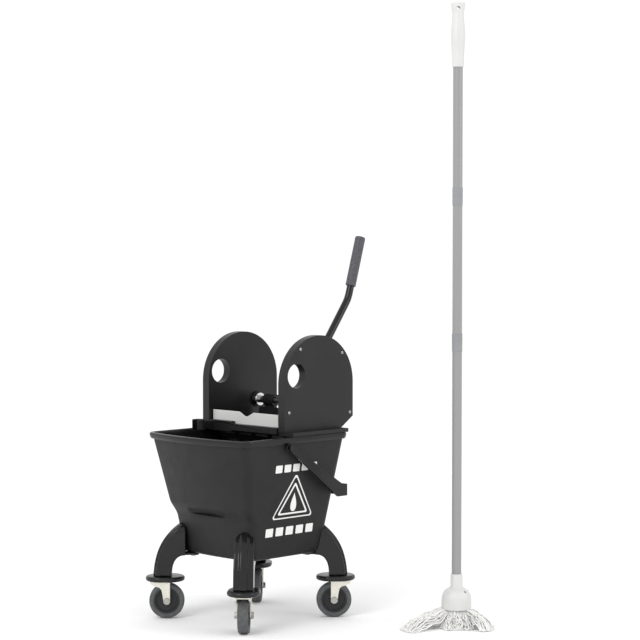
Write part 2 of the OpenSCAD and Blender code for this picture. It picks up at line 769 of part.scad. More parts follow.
// Grip frame: origin at the bend's corner, +Z along the grip
module on_grip() {
    on_lever() translate([0, 0, lever_len]) rotate([0, -bend_turn, 0]) children();
}
module ring_tube(h, r_out, r_in) {
    difference() {
        cylinder(h = h, r = r_out);
        translate([0, 0, -1]) cylinder(h = h + 2, r = r_in);
    }
}
module lever_socket() {
    color("#1c1c1e")
    on_lever() difference() {
        union() {
            rotate([90, 0, 0]) cylinder(h = socket_w, r = axle_r + 6, center = true);
            cylinder(h = socket_len, r = lever_r + 3.5);
        }
        rotate([90, 0, 0]) cylinder(h = 100, r = axle_r, center = true);
        translate([0, 0, lever_start]) cylinder(h = socket_len, r = lever_r);
        translate([0, 0, bolt_at]) rotate([90, 0, 0]) cylinder(h = 60, r = 3, center = true);
    }
}
// Centre line of the lever in its own plane: each entry is [x, z, turn]
lever_path = concat(
    [[0, lever_start, 0]],
    [for (i = [0:8]) let (a = bend_turn * i / 8)
        [bend_r * (cos(a) - 1), lever_len - bend_tan + bend_r * sin(a), a]],
    [[-(grip_reach - 6) * sin(bend_turn), lever_len + (grip_reach - 6) * cos(bend_turn), bend_turn]]
);
module bent_rod(r) {
    n = 32;
    m = len(lever_path);
    points = [for (p = lever_path) for (i = [0:n - 1])
        let (c = r * cos(360 * i / n), s = r * sin(360 * i / n))
        [p[0] + c * cos(p[2]), s, p[1] + c * sin(p[2])]];
    sides = [for (k = [0:m - 2]) for (i = [0:n - 1]) each [
        [k * n + i, (k + 1) * n + i, (k + 1) * n + (i + 1) % n],
        [k * n + i, (k + 1) * n + (i + 1) % n, k * n + (i + 1) % n]
    ]];
    polyhedron(points, concat(sides, [[for (i = [0:n - 1]) i]], [[for (i = [n - 1:-1:0]) (m - 1) * n + i]]));
}
module lever_tube() {
    wall = 1.5;
    color("#19191b")
    difference() {
        on_lever() bent_rod(lever_r - 0.02);
        on_lever() translate([0, 0, lever_start - 1])
            cylinder(h = lever_len - bend_tan - lever_start - 4, r = lever_r - wall);
        on_lever() translate([0, 0, bolt_at]) rotate([90, 0, 0]) cylinder(h = 60, r = 3, center = true);
        on_grip() translate([0, 0, bend_tan + 5]) cylinder(h = grip_reach, r = lever_r - wall);
    }
}
module lever_bolt() {
    color("silver")
    on_lever() translate([0, 0, bolt_at]) rotate([90, 0, 0]) {
        cylinder(h = 2 * lever_r + 11, r = 3, center = true);
        translate([0, 0, lever_r + 3.5]) cylinder(h = 4, r = 5.5, $fn = 6);
        translate([0, 0, -lever_r - 8]) cylinder(h = 4.5, r = 5.5, $fn = 6);
    }
}
module lever_grip() {
    r = grip_d / 2;
    color("#5a5962")
    on_grip() translate([0, 0, grip_reach - grip_len]) rotate_extrude() polygon([
        [lever_r, 0], [r - 1.5, 0], [r, 1.5], [r, grip_len - 6],
        [r - 1.5, grip_len - 2.5], [r - 5, grip_len - 0.4],
        [0, grip_len], [0, grip_len - 5.5], [lever_r, grip_len - 5.5]
    ]);
}

// ---- mop ----
pole_r = pole_d / 2;
pole_wall = 1.2;
bell_r = bell_d / 2;
bell_low = 36.7;
bell_shoulder = 80;
collar_top = 110;
coupler_low = 576.5;
coupler_high = 880;
coupler_h = 37;
grip_low = mop_h - mop_grip_len;
mop_turn = 45;       // turns the hang hole to face the front-near corner
module at_mop() {
    translate([mop_x, -mop_y, 0]) rotate([0, 0, mop_turn]) children();
}
module mop_bell() {
    wall = 3;
    color("#ececea")
    at_mop() difference() {
        rotate_extrude($fn = 96) polygon([
            [0, bell_shoulder - 5], [bell_r - 7 - wall, bell_shoulder - 9],
            [bell_r - 0.8 - wall, bell_shoulder - 16],
            [bell_r - wall, bell_shoulder - 28], [bell_r - wall, bell_low], [bell_r, bell_low],
            [bell_r, bell_shoulder - 28], [bell_r - 0.8, bell_shoulder - 14], [bell_r - 4, bell_shoulder - 5],
            [bell_r - 9, bell_shoulder], [pole_r + 4, bell_shoulder + 2], [pole_r + 2.5, bell_shoulder + 5],
            [pole_r + 2.3, collar_top - 1.5], [pole_r + 1.2, collar_top], [0, collar_top]
        ]);
        translate([0, 0, bell_shoulder]) cylinder(h = 60, r = pole_r);
        rotate([0, 0, -108]) translate([bell_r - 6, 0, bell_shoulder - 6]) rotate([0, 60, 0])
            cylinder(h = 24, r = 2.2, center = true);
    }
}
// Bunches of strands round the bell: heading, share of the longest reach, and spread
yarn_bunches = [
    [164, 1, 32], [122, 0.8, 28], [276, 0.72, 30], [316, 0.6, 28],
    [352, 0.62, 28], [30, 0.74, 30], [76, 0.72, 30], [230, 0.44, 60]
];
function turn_between(a, b) = 180 - abs(180 - abs(a - b));
function yarn_reach(a) = yarn_r * max([
    for (b = yarn_bunches) b[1] * exp(-pow(turn_between(a, b[0]) / b[2], 2) / 2)
]);
module mop_yarn() {
    steps = 48;
    levels = [[0, 0.94], [6, 1], [16, 0.93], [27, 0.62], [34, 0.36], [bell_low - 0.2, 0.2]];
    n = steps;
    m = len(levels);
    points = [for (l = levels) for (i = [0:n - 1])
        let (a = i * 360 / n, r = max(yarn_reach(a) * l[1], bell_r - 5)) [r * cos(a), r * sin(a), l[0]]];
    split = [for (k = [0:m - 2]) for (i = [0:n - 1]) each [
        [k * n + i, (k + 1) * n + i, (k + 1) * n + (i + 1) % n],
        [k * n + i, (k + 1) * n + (i + 1) % n, k * n + (i + 1) % n]
    ]];
    color("#f0f0ee")
    translate([mop_x, -mop_y, 0]) {
        polyhedron(points, concat(split, [[for (i = [0:n - 1]) i]],
            [[for (i = [n - 1:-1:0]) (m - 1) * n + i]]));
        translate([0, 0, bell_low - 1]) cylinder(h = 22, r = bell_r - 4);
    }
}
module pole(z0, z1) {
    color("#a8a9ab")
    at_mop() translate([0, 0, z0]) ring_tube(z1 - z0, pole_r, pole_r - pole_wall);
}
module coupler(z) {
    color("#9c9da0")
    at_mop() difference() {
        union() {
            translate([0, 0, z]) cylinder(h = coupler_h, r = pole_r + 0.6);
            for (k = [0:3]) translate([0, 0, z + coupler_h - 4 - k * 5]) cylinder(h = 1.6, r = pole_r + 1);
        }
        translate([0, 0, z - 1]) cylinder(h = coupler_h / 2, r = pole_r);
        translate([0, 0, z + coupler_h / 2 + 1]) cylinder(h = coupler_h, r = pole_r);
    }
}
hang_r = 3.5;
hang_z = mop_h - 11;
module mop_grip() {
    color("#f2f2f0")
    at_mop() difference() {
        rotate_extrude($fn = 96) translate([0, grip_low]) polygon([
            [pole_r, 0], [pole_r + 1.6, 0], [pole_r + 2.4, 2], [pole_r + 2.8, 30],
            [pole_r + 4, 47], [pole_r + 4.8, 60],
            [pole_r + 4.8, 72], [pole_r + 3.8, 84], [pole_r + 2.4, 98], [pole_r + 2.2, mop_grip_len - 20],
            [pole_r + 4.6, mop_grip_len - 7], [pole_r + 4.8, mop_grip_len - 3], [pole_r + 3, mop_grip_len],
            [0, mop_grip_len], [0, mop_grip_len - 24], [pole_r, mop_grip_len - 24]
        ]);
        translate([0, 0, hang_z]) rotate([0, 90, 0]) cylinder(h = 60, r = hang_r, center = true);
    }
}

// ---- the assembly ----
tub();
for (i = [0:3]) {
    leg(i);
    bumper(i);
    caster_stem(i);
    caster_fork(i);
    axle_bolt(i);
    wheel_hub(i);
    tyre(i);
}
leg_screws();
bail();
bail_pins();
basket();
front_plate();
clip_bar();
cheek(-1);  // cheek_near
cheek(1);  // cheek_far
cover(-1);  // cover_near
cover(1);  // cover_far
cover_screws();
ledge_screws();
axle_bushes();
return_springs();
cross_axle();
axle_collars();
stop_arms();
press_plate();
press_screws();
lever_socket();
lever_tube();
lever_bolt();
lever_grip();
mop_bell();
mop_yarn();
pole(bell_shoulder, coupler_low + coupler_h / 2 - 1);  // mop_pole_lower
pole(coupler_low + coupler_h / 2 + 1,  // mop_pole_middle
    coupler_high + coupler_h / 2 - 1);
pole(coupler_high + coupler_h / 2 + 1, mop_h - 26);  // mop_pole_upper
coupler(coupler_low);  // mop_coupler_lower
coupler(coupler_high);  // mop_coupler_upper
mop_grip();
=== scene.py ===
# %% [markdown]
# # A mop bucket, its lever wringer and a string mop
# A charcoal polypropylene tub stands on four glossy legs with casters. A wringer with two round-topped
# cheeks hangs on its rim, a bent lever works the press, and a string mop stands beside it.
# The engineering model comes in as a fixed frame: it already has every size, hole and joint.
# This lesson dresses it. Hard parts get softened edges and real finishes, and the pieces that a
# machinist's model can't give, such as the yarn head, are made here.

# %% Load the frame and remember its box
import json
import math
import random

import bmesh
import bpy
from mathutils import Matrix, Vector


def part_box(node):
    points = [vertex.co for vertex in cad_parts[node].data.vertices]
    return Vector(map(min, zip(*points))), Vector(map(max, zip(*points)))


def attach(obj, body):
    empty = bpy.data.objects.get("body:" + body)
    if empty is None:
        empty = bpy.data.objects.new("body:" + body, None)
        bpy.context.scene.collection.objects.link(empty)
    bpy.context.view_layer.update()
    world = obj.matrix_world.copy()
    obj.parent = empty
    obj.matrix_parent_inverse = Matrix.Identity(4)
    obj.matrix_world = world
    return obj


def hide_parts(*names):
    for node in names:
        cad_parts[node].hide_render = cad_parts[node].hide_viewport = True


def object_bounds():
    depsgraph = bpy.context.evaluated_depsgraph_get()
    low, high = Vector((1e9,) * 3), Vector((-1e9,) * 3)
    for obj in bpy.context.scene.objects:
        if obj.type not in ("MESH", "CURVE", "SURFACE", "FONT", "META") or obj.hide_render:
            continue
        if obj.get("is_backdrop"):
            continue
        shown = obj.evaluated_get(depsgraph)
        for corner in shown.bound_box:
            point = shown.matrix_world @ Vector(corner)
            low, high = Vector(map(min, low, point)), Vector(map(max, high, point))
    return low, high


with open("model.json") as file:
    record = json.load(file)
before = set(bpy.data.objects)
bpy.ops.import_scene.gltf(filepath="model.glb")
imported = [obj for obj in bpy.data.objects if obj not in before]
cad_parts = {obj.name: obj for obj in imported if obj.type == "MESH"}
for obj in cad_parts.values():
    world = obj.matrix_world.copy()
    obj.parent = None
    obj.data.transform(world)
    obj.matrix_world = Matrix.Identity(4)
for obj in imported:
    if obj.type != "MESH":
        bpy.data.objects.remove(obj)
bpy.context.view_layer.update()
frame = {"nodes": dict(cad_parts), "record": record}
MM = 0.001
CORNERS = ("front_near", "front_far", "rear_near", "rear_far")
BODY_OF = {node: body for body, nodes in frame["record"]["behaviour"]["bodies"].items() for node in nodes}
SLOT_OF = {part["node"]: part["material_slot"] for part in frame["record"]["subparts"]}

# %% [markdown]
# ## The camera
# A product picture is taken from far away with a long lens, so upright edges stay nearly parallel.
# The camera stands off the near front corner of the bucket, a little above its rim, and looks
# slightly down. A long lens from a distance was chosen over a wide one close by, because a wide lens
# would swell the nearest wheel.

# %% Place the camera
EYE = Vector((-2.895, -3.114, 0.817))
HEADING = math.radians(44.92)
DIP = math.radians(2.42)
LENS_MM = 112.2

camera = bpy.data.objects.new("camera", bpy.data.cameras.new("camera"))
bpy.context.scene.collection.objects.link(camera)
camera.data.lens = LENS_MM
camera.data.sensor_width = 36.0
camera.location = EYE
looks = Vector((math.sin(HEADING) * math.cos(DIP), math.cos(HEADING) * math.cos(DIP), -math.sin(DIP)))
camera.rotation_euler = looks.to_track_quat("-Z", "Y").to_euler()
bpy.context.scene.camera = camera
print("camera stands", round(EYE.length, 2), "m away")

# %% [markdown]
# ## Colours and nodes
# Colours are written as the hex values that a paint chart gives. Shaders work in linear light, so one
# function converts them. A second small function adds any node with its settings and its links, so
# that each finish below reads as a short recipe.

# %% Colour and node helpers
def linear(hex_colour):
    """An sRGB hex colour as the linear RGBA that a shader socket takes."""
    parts = [int(hex_colour[i:i + 2], 16) / 255 for i in (1, 3, 5)]
    return [c / 12.92 if c <= 0.04045 else ((c + 0.055) / 1.055) ** 2.4 for c in parts] + [1.0]


def add(tree, kind, inputs=(), **settings):
    """Adds one node. inputs maps a socket's name or number to a value, or to the socket that feeds it."""
    node = tree.nodes.new(kind)
    for key, value in settings.items():
        setattr(node, key, value)
    for key, value in dict(inputs).items():
        if isinstance(value, bpy.types.NodeSocket):
            tree.links.new(value, node.inputs[key])
        else:
            node.inputs[key].default_value = value
    return node


def per_metre(size_mm):
    """The texture scale whose features are about size_mm across."""
    return 1.0 / (size_mm * MM)


def start_material(name, **shader):
    """A new material: itself, its tree, its Principled shader and the Object coordinates."""
    material = bpy.data.materials.new(name)
    material.use_nodes = True
    tree = material.node_tree
    tree.nodes.clear()
    sockets = {key.replace("_", " "): value for key, value in shader.items()}
    principled = add(tree, "ShaderNodeBsdfPrincipled", sockets)
    add(tree, "ShaderNodeOutputMaterial", {"Surface": principled.outputs[0]})
    return material, tree, principled, add(tree, "ShaderNodeTexCoord").outputs["Object"]


def vary(tree, coords, size_mm, low, high, detail=2.0):
    """A number that drifts between low and high over patches about size_mm across."""
    noise = add(tree, "ShaderNodeTexNoise", {"Vector": coords, "Scale": per_metre(size_mm), "Detail": detail})
    ranged = add(tree, "ShaderNodeMapRange", {
        "Value": noise.outputs[0], "From Min": 0.3, "From Max": 0.7, "To Min": low, "To Max": high})
    return ranged.outputs[0]


def paint(tree, principled, factor, first, second):
    """Feeds the shader a base colour that runs from first to second with the factor."""
    mix = add(tree, "ShaderNodeMix", {0: factor, 6: first, 7: second}, data_type="RGBA")
    tree.links.new(mix.outputs[2], principled.inputs["Base Color"])


def emboss(tree, principled, height, depth_mm, strength=1.0):
    """Feeds a height pattern to the shader as a bump of depth_mm."""
    bump = add(tree, "ShaderNodeBump", {"Height": height, "Distance": depth_mm * MM, "Strength": strength})
    tree.links.new(bump.outputs[0], principled.inputs["Normal"])


FINISH = {}

# %% [markdown]
# ## Moulded plastics
# The tub is polypropylene, moulded against a spark-eroded steel tool: the tool leaves an even, fine
# grain that scatters light and hides scratches. Real grain is about 0.3 mm, far too fine to show at
# this distance, so it is drawn at 1.5 mm. Plastic also flows as it fills the mould, which leaves faint
# broad patches in its gloss. The legs and cheeks come from polished tools, so their gloss is higher.

# %% Moulded plastic finishes
def moulded(name, colour, rough, grain_mm, grain_deep_mm, drift=0.12, **shader):
    """Injection-moulded plastic: a grain, a drift in gloss, and a slight drift in colour."""
    material, tree, principled, coords = start_material(name, **shader)
    base = linear(colour)
    paler = [min(1.0, c * (1 + drift) + 0.002) for c in base[:3]] + [1.0]
    patches = vary(tree, coords, 70.0, 0.0, 1.0)
    paint(tree, principled, patches, base, paler)
    tree.links.new(vary(tree, coords, 22.0, rough - 0.04, rough + 0.05, 3.0), principled.inputs["Roughness"])
    grain = add(tree, "ShaderNodeTexNoise", {"Vector": coords, "Scale": per_metre(grain_mm), "Detail": 2.0})
    emboss(tree, principled, grain.outputs[0], grain_deep_mm)
    return material


DULL = {"Specular_IOR_Level": 0.27}
POLISHED = {"Specular_IOR_Level": 0.36}
FINISH["leg"] = moulded("leg_polypropylene_polished", "#101011", 0.16, 5.0, 0.015, IOR=1.49, **POLISHED)
FINISH["bumper"] = moulded("bumper_soft_plastic_satin", "#141415", 0.27, 2.0, 0.02, IOR=1.5, **POLISHED)
FINISH["bail"] = moulded("bail_nylon_satin", "#0e0e0f", 0.26, 2.0, 0.02, IOR=1.53, Specular_IOR_Level=0.3)
FINISH["wringer_body"] = moulded("wringer_abs_satin", "#1a1a1b", 0.36, 1.8, 0.02, IOR=1.54, **DULL)
FINISH["bush"] = moulded("bush_acetal_turned", "#0c0c0d", 0.25, 1.2, 0.01, IOR=1.48, **DULL)
FINISH["front_plate"] = moulded("front_plate_light_grey_abs", "#c9c9c7", 0.4, 2.0, 0.02, 0.05, IOR=1.54)
FINISH["wheel_hub"] = moulded("hub_grey_polypropylene", "#2c2d2e", 0.42, 1.2, 0.03, IOR=1.49, **DULL)
FINISH["mop_plastic"] = moulded("mop_white_polypropylene", "#cccccb", 0.38, 2.5, 0.02, 0.03, IOR=1.49)
FINISH["mop_coupler"] = moulded("coupler_grey_polypropylene", "#87888b", 0.4, 1.5, 0.02, IOR=1.49)
print(len(FINISH), "moulded plastics")

# %% [markdown]
# The tub gets one thing more. Its rolled rim is burnished smooth by the wringer and by hands, while the
# walls keep their grain, so its roughness drops over the last few millimetres of height.

# %% Tub wall with a burnished rim
def tub_wall(rim_z):
    material, tree, principled, coords = start_material(
        "tub_polypropylene_spark_grain", IOR=1.49, Specular_IOR_Level=0.27)
    patches = vary(tree, coords, 70.0, 0.0, 1.0)
    paint(tree, principled, patches, linear("#1a1a1b"), linear("#1e1e1f"))
    height = add(tree, "ShaderNodeSeparateXYZ", {0: coords}).outputs[2]
    worn = add(tree, "ShaderNodeMapRange", {
        "Value": height, "From Min": rim_z - 17 * MM, "From Max": rim_z - 12 * MM,
        "To Min": 0.0, "To Max": 0.26}).outputs[0]
    plain = vary(tree, coords, 22.0, 0.46, 0.54, 3.0)
    rough = add(tree, "ShaderNodeMath", {0: plain, 1: worn}, operation="SUBTRACT").outputs[0]
    tree.links.new(rough, principled.inputs["Roughness"])
    grain = add(tree, "ShaderNodeTexNoise", {"Vector": coords, "Scale": per_metre(1.5), "Detail": 2.0})
    emboss(tree, principled, grain.outputs[0], 0.04)
    return material


FINISH["tub"] = tub_wall(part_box("tub")[1].z)

# %% [markdown]
# ## Tyre tread rubber
# The tyre is a grey thermoplastic rubber that leaves no marks. It is softer than the hub, nearly
# matt, and picks up a little pale dust where it rolls. The dust is a broad noise that lightens the
# colour and dulls the surface together.

# %% Grey tyre rubber
def tyre_rubber():
    material, tree, principled, coords = start_material(
        "tyre_grey_thermoplastic_rubber", IOR=1.5, Specular_IOR_Level=0.3)
    dust = vary(tree, coords, 9.0, 0.0, 0.7, 4.0)
    paint(tree, principled, dust, linear("#4c4d4e"), linear("#606163"))
    tree.links.new(vary(tree, coords, 6.0, 0.5, 0.68), principled.inputs["Roughness"])
    skin = add(tree, "ShaderNodeTexNoise", {"Vector": coords, "Scale": per_metre(1.6), "Detail": 4.0})
    emboss(tree, principled, skin.outputs[0], 0.08)
    return material


FINISH["tyre"] = tyre_rubber()

# %% [markdown]
# ## Metals
# The forks are pressed steel with a warm zinc coating, which looks slightly mottled because the
# plating crystals reflect differently. Rods are ground: the wheel leaves fine rings round the rod.
# Chrome is nearly a mirror. The lever tube is powder coated, which flows into a soft orange peel.
# Bare metals keep the shader's own index of refraction, and only their colour and roughness change.

# %% Metal finishes
def plated(name, colour, rough, spangle_mm, contrast):
    """Plated or coated bare metal with a mottled sheen."""
    material, tree, principled, coords = start_material(name, Metallic=1.0)
    bright = linear(colour)
    dull = [c * (1 - contrast) for c in bright[:3]] + [1.0]
    spangle = add(tree, "ShaderNodeTexVoronoi", {"Vector": coords, "Scale": per_metre(spangle_mm)})
    facet = add(tree, "ShaderNodeSeparateColor", {0: spangle.outputs["Color"]}).outputs[0]
    paint(tree, principled, facet, bright, dull)
    tree.links.new(vary(tree, coords, 8.0, rough - 0.06, rough + 0.1), principled.inputs["Roughness"])
    pits = add(tree, "ShaderNodeTexNoise", {"Vector": coords, "Scale": per_metre(1.0), "Detail": 2.0})
    emboss(tree, principled, pits.outputs[0], 0.02)
    return material


def ground(name, colour, rough):
    """A ground steel rod along Y: fine rings round the rod."""
    material, tree, principled, coords = start_material(name, Metallic=1.0, Base_Color=linear(colour))
    squeeze = add(tree, "ShaderNodeMapping", {"Vector": coords, "Scale": (0.02, 1.0, 0.02)}).outputs[0]
    rings = add(tree, "ShaderNodeTexNoise", {"Vector": squeeze, "Scale": per_metre(1.0), "Detail": 3.0})
    emboss(tree, principled, rings.outputs[0], 0.02)
    tree.links.new(vary(tree, squeeze, 2.0, rough - 0.05, rough + 0.08), principled.inputs["Roughness"])
    return material


def powder_coat(name, colour, rough, **shader):
    """Powder-coated steel: a gloss skin with a soft orange peel."""
    material, tree, principled, coords = start_material(
        name, Base_Color=linear(colour), Coat_Weight=0.4, Coat_Roughness=0.08, **shader)
    peel = add(tree, "ShaderNodeTexNoise", {"Vector": coords, "Scale": per_metre(3.0), "Detail": 1.0})
    emboss(tree, principled, peel.outputs[0], 0.04)
    tree.links.new(vary(tree, coords, 30.0, rough - 0.04, rough + 0.06), principled.inputs["Roughness"])
    return material


FINISH["fork_zinc"] = plated("fork_pressed_steel_warm_zinc", "#e8e5da", 0.42, 3.0, 0.1)
FINISH["zinc"] = plated("fastener_steel_zinc", "#b4b3ae", 0.32, 1.5, 0.1)
FINISH["spring_steel"] = plated("spring_steel_oiled", "#8d8c88", 0.35, 2.0, 0.15)
FINISH["axle_steel"] = ground("axle_ground_steel", "#b5b5b4", 0.25)
FINISH["chrome"] = plated("collar_chrome_plated", "#dcdcdc", 0.14, 6.0, 0.03)
FINISH["lever_paint"] = powder_coat(
    "lever_steel_black_powder_coat", "#060607", 0.2, IOR=1.5, Specular_IOR_Level=0.2)
FINISH["mop_pole"] = powder_coat("pole_steel_grey_powder_coat", "#8c8c8c", 0.36, IOR=1.5)

# %% [markdown]
# ## The lever's grip sleeve
# The sleeve is dip-moulded vinyl in a grey with a touch of violet, with a pimpled skin that keeps a
# wet hand from slipping. Pimples about 2 mm apart are a Voronoi pattern: the distance to the nearest
# cell centre, turned over, gives one round bump in each cell. The same pattern also paints the pimple
# tops paler and the hollows between them darker, which is painted highlight and shade.

# %% Pimpled vinyl
def pimpled_vinyl():
    material, tree, principled, coords = start_material("grip_dipped_vinyl_pimpled", IOR=1.53)
    cells = add(tree, "ShaderNodeTexVoronoi", {"Vector": coords, "Scale": per_metre(2.4), "Randomness": 0.6})
    domes_and_painted_shade = add(tree, "ShaderNodeMapRange", {
        "Value": cells.outputs["Distance"], "From Min": 0.1, "From Max": 0.6,
        "To Min": 1.0, "To Max": 0.0}).outputs[0]
    # Painted highlight and shade: the dome height that makes the bumps also makes pimple tops paler and
    # hollows darker.
    paint(tree, principled, domes_and_painted_shade, linear("#37363c"), linear("#605f67"))
    tree.links.new(vary(tree, coords, 14.0, 0.4, 0.52), principled.inputs["Roughness"])
    emboss(tree, principled, domes_and_painted_shade, 0.35)
    return material


FINISH["lever_grip"] = pimpled_vinyl()

# %% [markdown]
# ## Cotton yarn and pad ink
# The strands are a cotton blend: soft, slightly warm white, with loose fibres that glow at grazing
# light. Sheen gives that glow. Fine fibre streaks, drawn at 1 mm, break up the surface of each ply.
# The sign on the tub is pad-printed ink, which lies flat and nearly matt.

# %% Yarn and ink
def cotton_yarn():
    material, tree, principled, coords = start_material(
        "mop_yarn_cotton_blend", Sheen_Weight=0.35, Sheen_Roughness=0.5, IOR=1.5)
    fuzz = add(tree, "ShaderNodeTexNoise", {"Vector": coords, "Scale": per_metre(1.0), "Detail": 5.0})
    tone = add(tree, "ShaderNodeAttribute", attribute_name="tone").outputs["Fac"]
    paint(tree, principled, tone, linear("#f9f9f8"), linear("#eae9e6"))
    tree.links.new(vary(tree, coords, 4.0, 0.82, 0.95), principled.inputs["Roughness"])
    emboss(tree, principled, fuzz.outputs[0], 0.3)
    return material


FINISH["mop_yarn"] = cotton_yarn()
FINISH["ink"] = moulded("sign_pad_ink_white", "#e4e4e2", 0.5, 1.5, 0.01, 0.04, IOR=1.5)

# %% [markdown]
# ## Making meshes
# Three tools make nearly every hard piece. A builder turns points and faces into an object, merges
# doubles and turns every face outwards. A lathe spins an outline. A softener copies a frame part,
# merges its loose triangles into flat faces and rolls a small radius on its edges, because no moulded
# or pressed edge is ever perfectly sharp, and that thin highlight is what makes an edge look real.

# %% Mesh tools
def build(name, points, faces, place=Matrix.Identity(4), crease=38.0):
    """An object from points in mm, with doubles merged, faces outwards and edges past crease kept sharp."""
    mesh = bpy.data.meshes.new(name)
    mesh.from_pydata([place @ (Vector(p) * MM) for p in points], [], faces)
    shape = bmesh.new()
    shape.from_mesh(mesh)
    bmesh.ops.remove_doubles(shape, verts=shape.verts, dist=0.01 * MM)
    bmesh.ops.dissolve_degenerate(shape, edges=shape.edges, dist=0.005 * MM)
    bmesh.ops.recalc_face_normals(shape, faces=shape.faces)
    shape.to_mesh(mesh)
    shape.free()
    made = bpy.data.objects.new(name, mesh)
    bpy.context.scene.collection.objects.link(made)
    shade(made, crease)
    return made


def shade(made, crease):
    made.data.shade_smooth()
    made.data.set_sharp_from_angle(angle=math.radians(crease))


def flatten(made):
    """Turns an object's modifiers into its plain mesh."""
    depsgraph = bpy.context.evaluated_depsgraph_get()
    mesh = bpy.data.meshes.new_from_object(made.evaluated_get(depsgraph), depsgraph=depsgraph)
    made.modifiers.clear()
    made.data = mesh
    return made


def dress(made, node, body=None, finish=None, hide=True):
    """Gives a piece its finish, picked by its frame part's slot unless one is named, and its body, and hides
    the frame part that it stands for.
    """
    slot = SLOT_OF[node]
    made.data.materials.clear()
    made.data.materials.append(FINISH[finish or slot])
    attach(made, body or BODY_OF[node])
    if hide:
        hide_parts(node)
    return made


def arc(cx, cy, r, angles):
    """Points round (cx, cy), one for each angle in degrees."""
    return [(cx + r * math.cos(math.radians(a)), cy + r * math.sin(math.radians(a))) for a in angles]


def bands(rows, count):
    """Faces between each ring of points and the next, for rows rings of count points."""
    faces = []
    for k in range(rows - 1):
        for i in range(count):
            j = (i + 1) % count
            faces.append((k * count + i, k * count + j, (k + 1) * count + j, (k + 1) * count + i))
    return faces


def lathe(outline, steps):
    """An outline of (radius, height) spun about Z. A closed outline repeats its first point."""
    points = []
    for radius, height in outline:
        for i in range(steps):
            turn = 2 * math.pi * i / steps
            points.append((radius * math.cos(turn), radius * math.sin(turn), height))
    return points, bands(len(outline), steps)


def skin(rings):
    """Points and faces over a stack of rings with the same number of points, closed at both ends."""
    count = len(rings[0])
    faces = bands(len(rings), count)
    faces.append(tuple(range(count))[::-1])
    faces.append(tuple((len(rings) - 1) * count + i for i in range(count)))
    return [p for ring in rings for p in ring], faces


def soften(node, radius_mm, segments=2, angle=34.0):
    """A copy of a frame part with rolled edges, dressed in its own finish."""
    source = frame["nodes"][node]
    shape = bmesh.new()
    shape.from_mesh(source.data)
    bmesh.ops.remove_doubles(shape, verts=shape.verts, dist=0.002 * MM)
    bmesh.ops.dissolve_limit(shape, angle_limit=math.radians(0.6), verts=shape.verts, edges=shape.edges)
    mesh = bpy.data.meshes.new(node + "_finished")
    shape.to_mesh(mesh)
    shape.free()
    made = bpy.data.objects.new(node + "_finished", mesh)
    bpy.context.scene.collection.objects.link(made)
    bevel = made.modifiers.new("rolled edges", "BEVEL")
    bevel.width = radius_mm * MM
    bevel.segments = segments
    bevel.limit_method = "ANGLE"
    bevel.angle_limit = math.radians(angle)
    bevel.use_clamp_overlap = True
    shade(made, 50.0)
    level = made.modifiers.new("flat faces stay flat", "WEIGHTED_NORMAL")
    level.keep_sharp = True
    return dress(flatten(made), node)


# %% [markdown]
# ## Softened frame parts
# Each kind of part gets the edge radius that its process leaves: pressed steel breaks at about half a
# millimetre, mouldings at one to two. The list is grouped by radius, so it is easy to see which
# process each part came from.

# %% Soften the mouldings, pressings and turned parts
EDGE_RADIUS = {
    1.4: ["cheek_near", "cheek_far", "clip_bar"],
    0.9: ["cover_near", "cover_far", "basket", "bail", "lever_socket"],
    0.6: ["front_plate", "press_plate", "axle_bushes", "axle_collars", "lever_bolt", "bail_pins"]
    + ["caster_fork_" + c for c in CORNERS] + ["wheel_hub_" + c for c in CORNERS],
    0.4: ["mop_coupler_lower", "mop_coupler_upper", "cross_axle", "stop_arms", "leg_screws", "ledge_screws"]
    + ["press_screws", "return_springs", "mop_pole_lower", "mop_pole_middle", "mop_pole_upper", "lever_tube"]
    + ["axle_bolt_" + c for c in CORNERS] + ["caster_stem_" + c for c in CORNERS],
}
for radius, nodes in EDGE_RADIUS.items():
    for node in nodes:
        soften(node, radius, 3 if radius > 1 else 2)
    print(radius, "mm edges on", len(nodes), "parts")

# %% [markdown]
# ## Legs
# The legs are thick, glossy mouldings, and every edge and inner corner on them is well rounded. A bevel
# can't round a corner by more than the narrow faces beside it allow. Rebuilding the surface as an
# even fine grid and then relaxing that grid rounds hollows and ridges alike, like wax warmed a
# little, so the rib flows into the leg and catches one long highlight.

# %% Melt the legs
def melt(node, grid_mm, passes):
    """A copy of a frame part on an even grid, relaxed so that all its corners are round."""
    made = bpy.data.objects.new(node + "_finished", frame["nodes"][node].data.copy())
    bpy.context.scene.collection.objects.link(made)
    grid = made.modifiers.new("even grid", "REMESH")
    grid.mode = "VOXEL"
    grid.voxel_size = grid_mm * MM
    relax = made.modifiers.new("relax", "SMOOTH")
    relax.factor = 0.5
    relax.iterations = passes
    flatten(made).data.shade_smooth()
    return dress(made, node)


for word in CORNERS:
    leg = melt("leg_" + word, 1.5, 9)
print("each leg has about", len(leg.data.polygons), "faces")

# %% [markdown]
# ## The tub
# The tub is one moulding with a rolled rim, walls that lean outwards so that it draws from the mould,
# a bowed front, and a belly with a finger recess under it for tipping the water out. A stack of plan
# outlines skinned together was chosen over a box with modifiers, because every level's size is then
# an exact number, and the rim, the belly and the wall's thickness are just more levels.

# %% Tub outline at any height
tub_low, tub_high = (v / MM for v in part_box("tub"))
FLOOR, RIM = tub_low.z, tub_high.z
DEEP = RIM - FLOOR
WALL = 4.0
FOOT_R = 9.0
BELLY = FLOOR + 111.0
BELLY_RISE = 34.0


def side_y(z):
    return 110.0 + 40.0 * (z - FLOOR) / DEEP


def rear_x(z):
    return 108.0 + 35.0 * (z - FLOOR) / DEEP


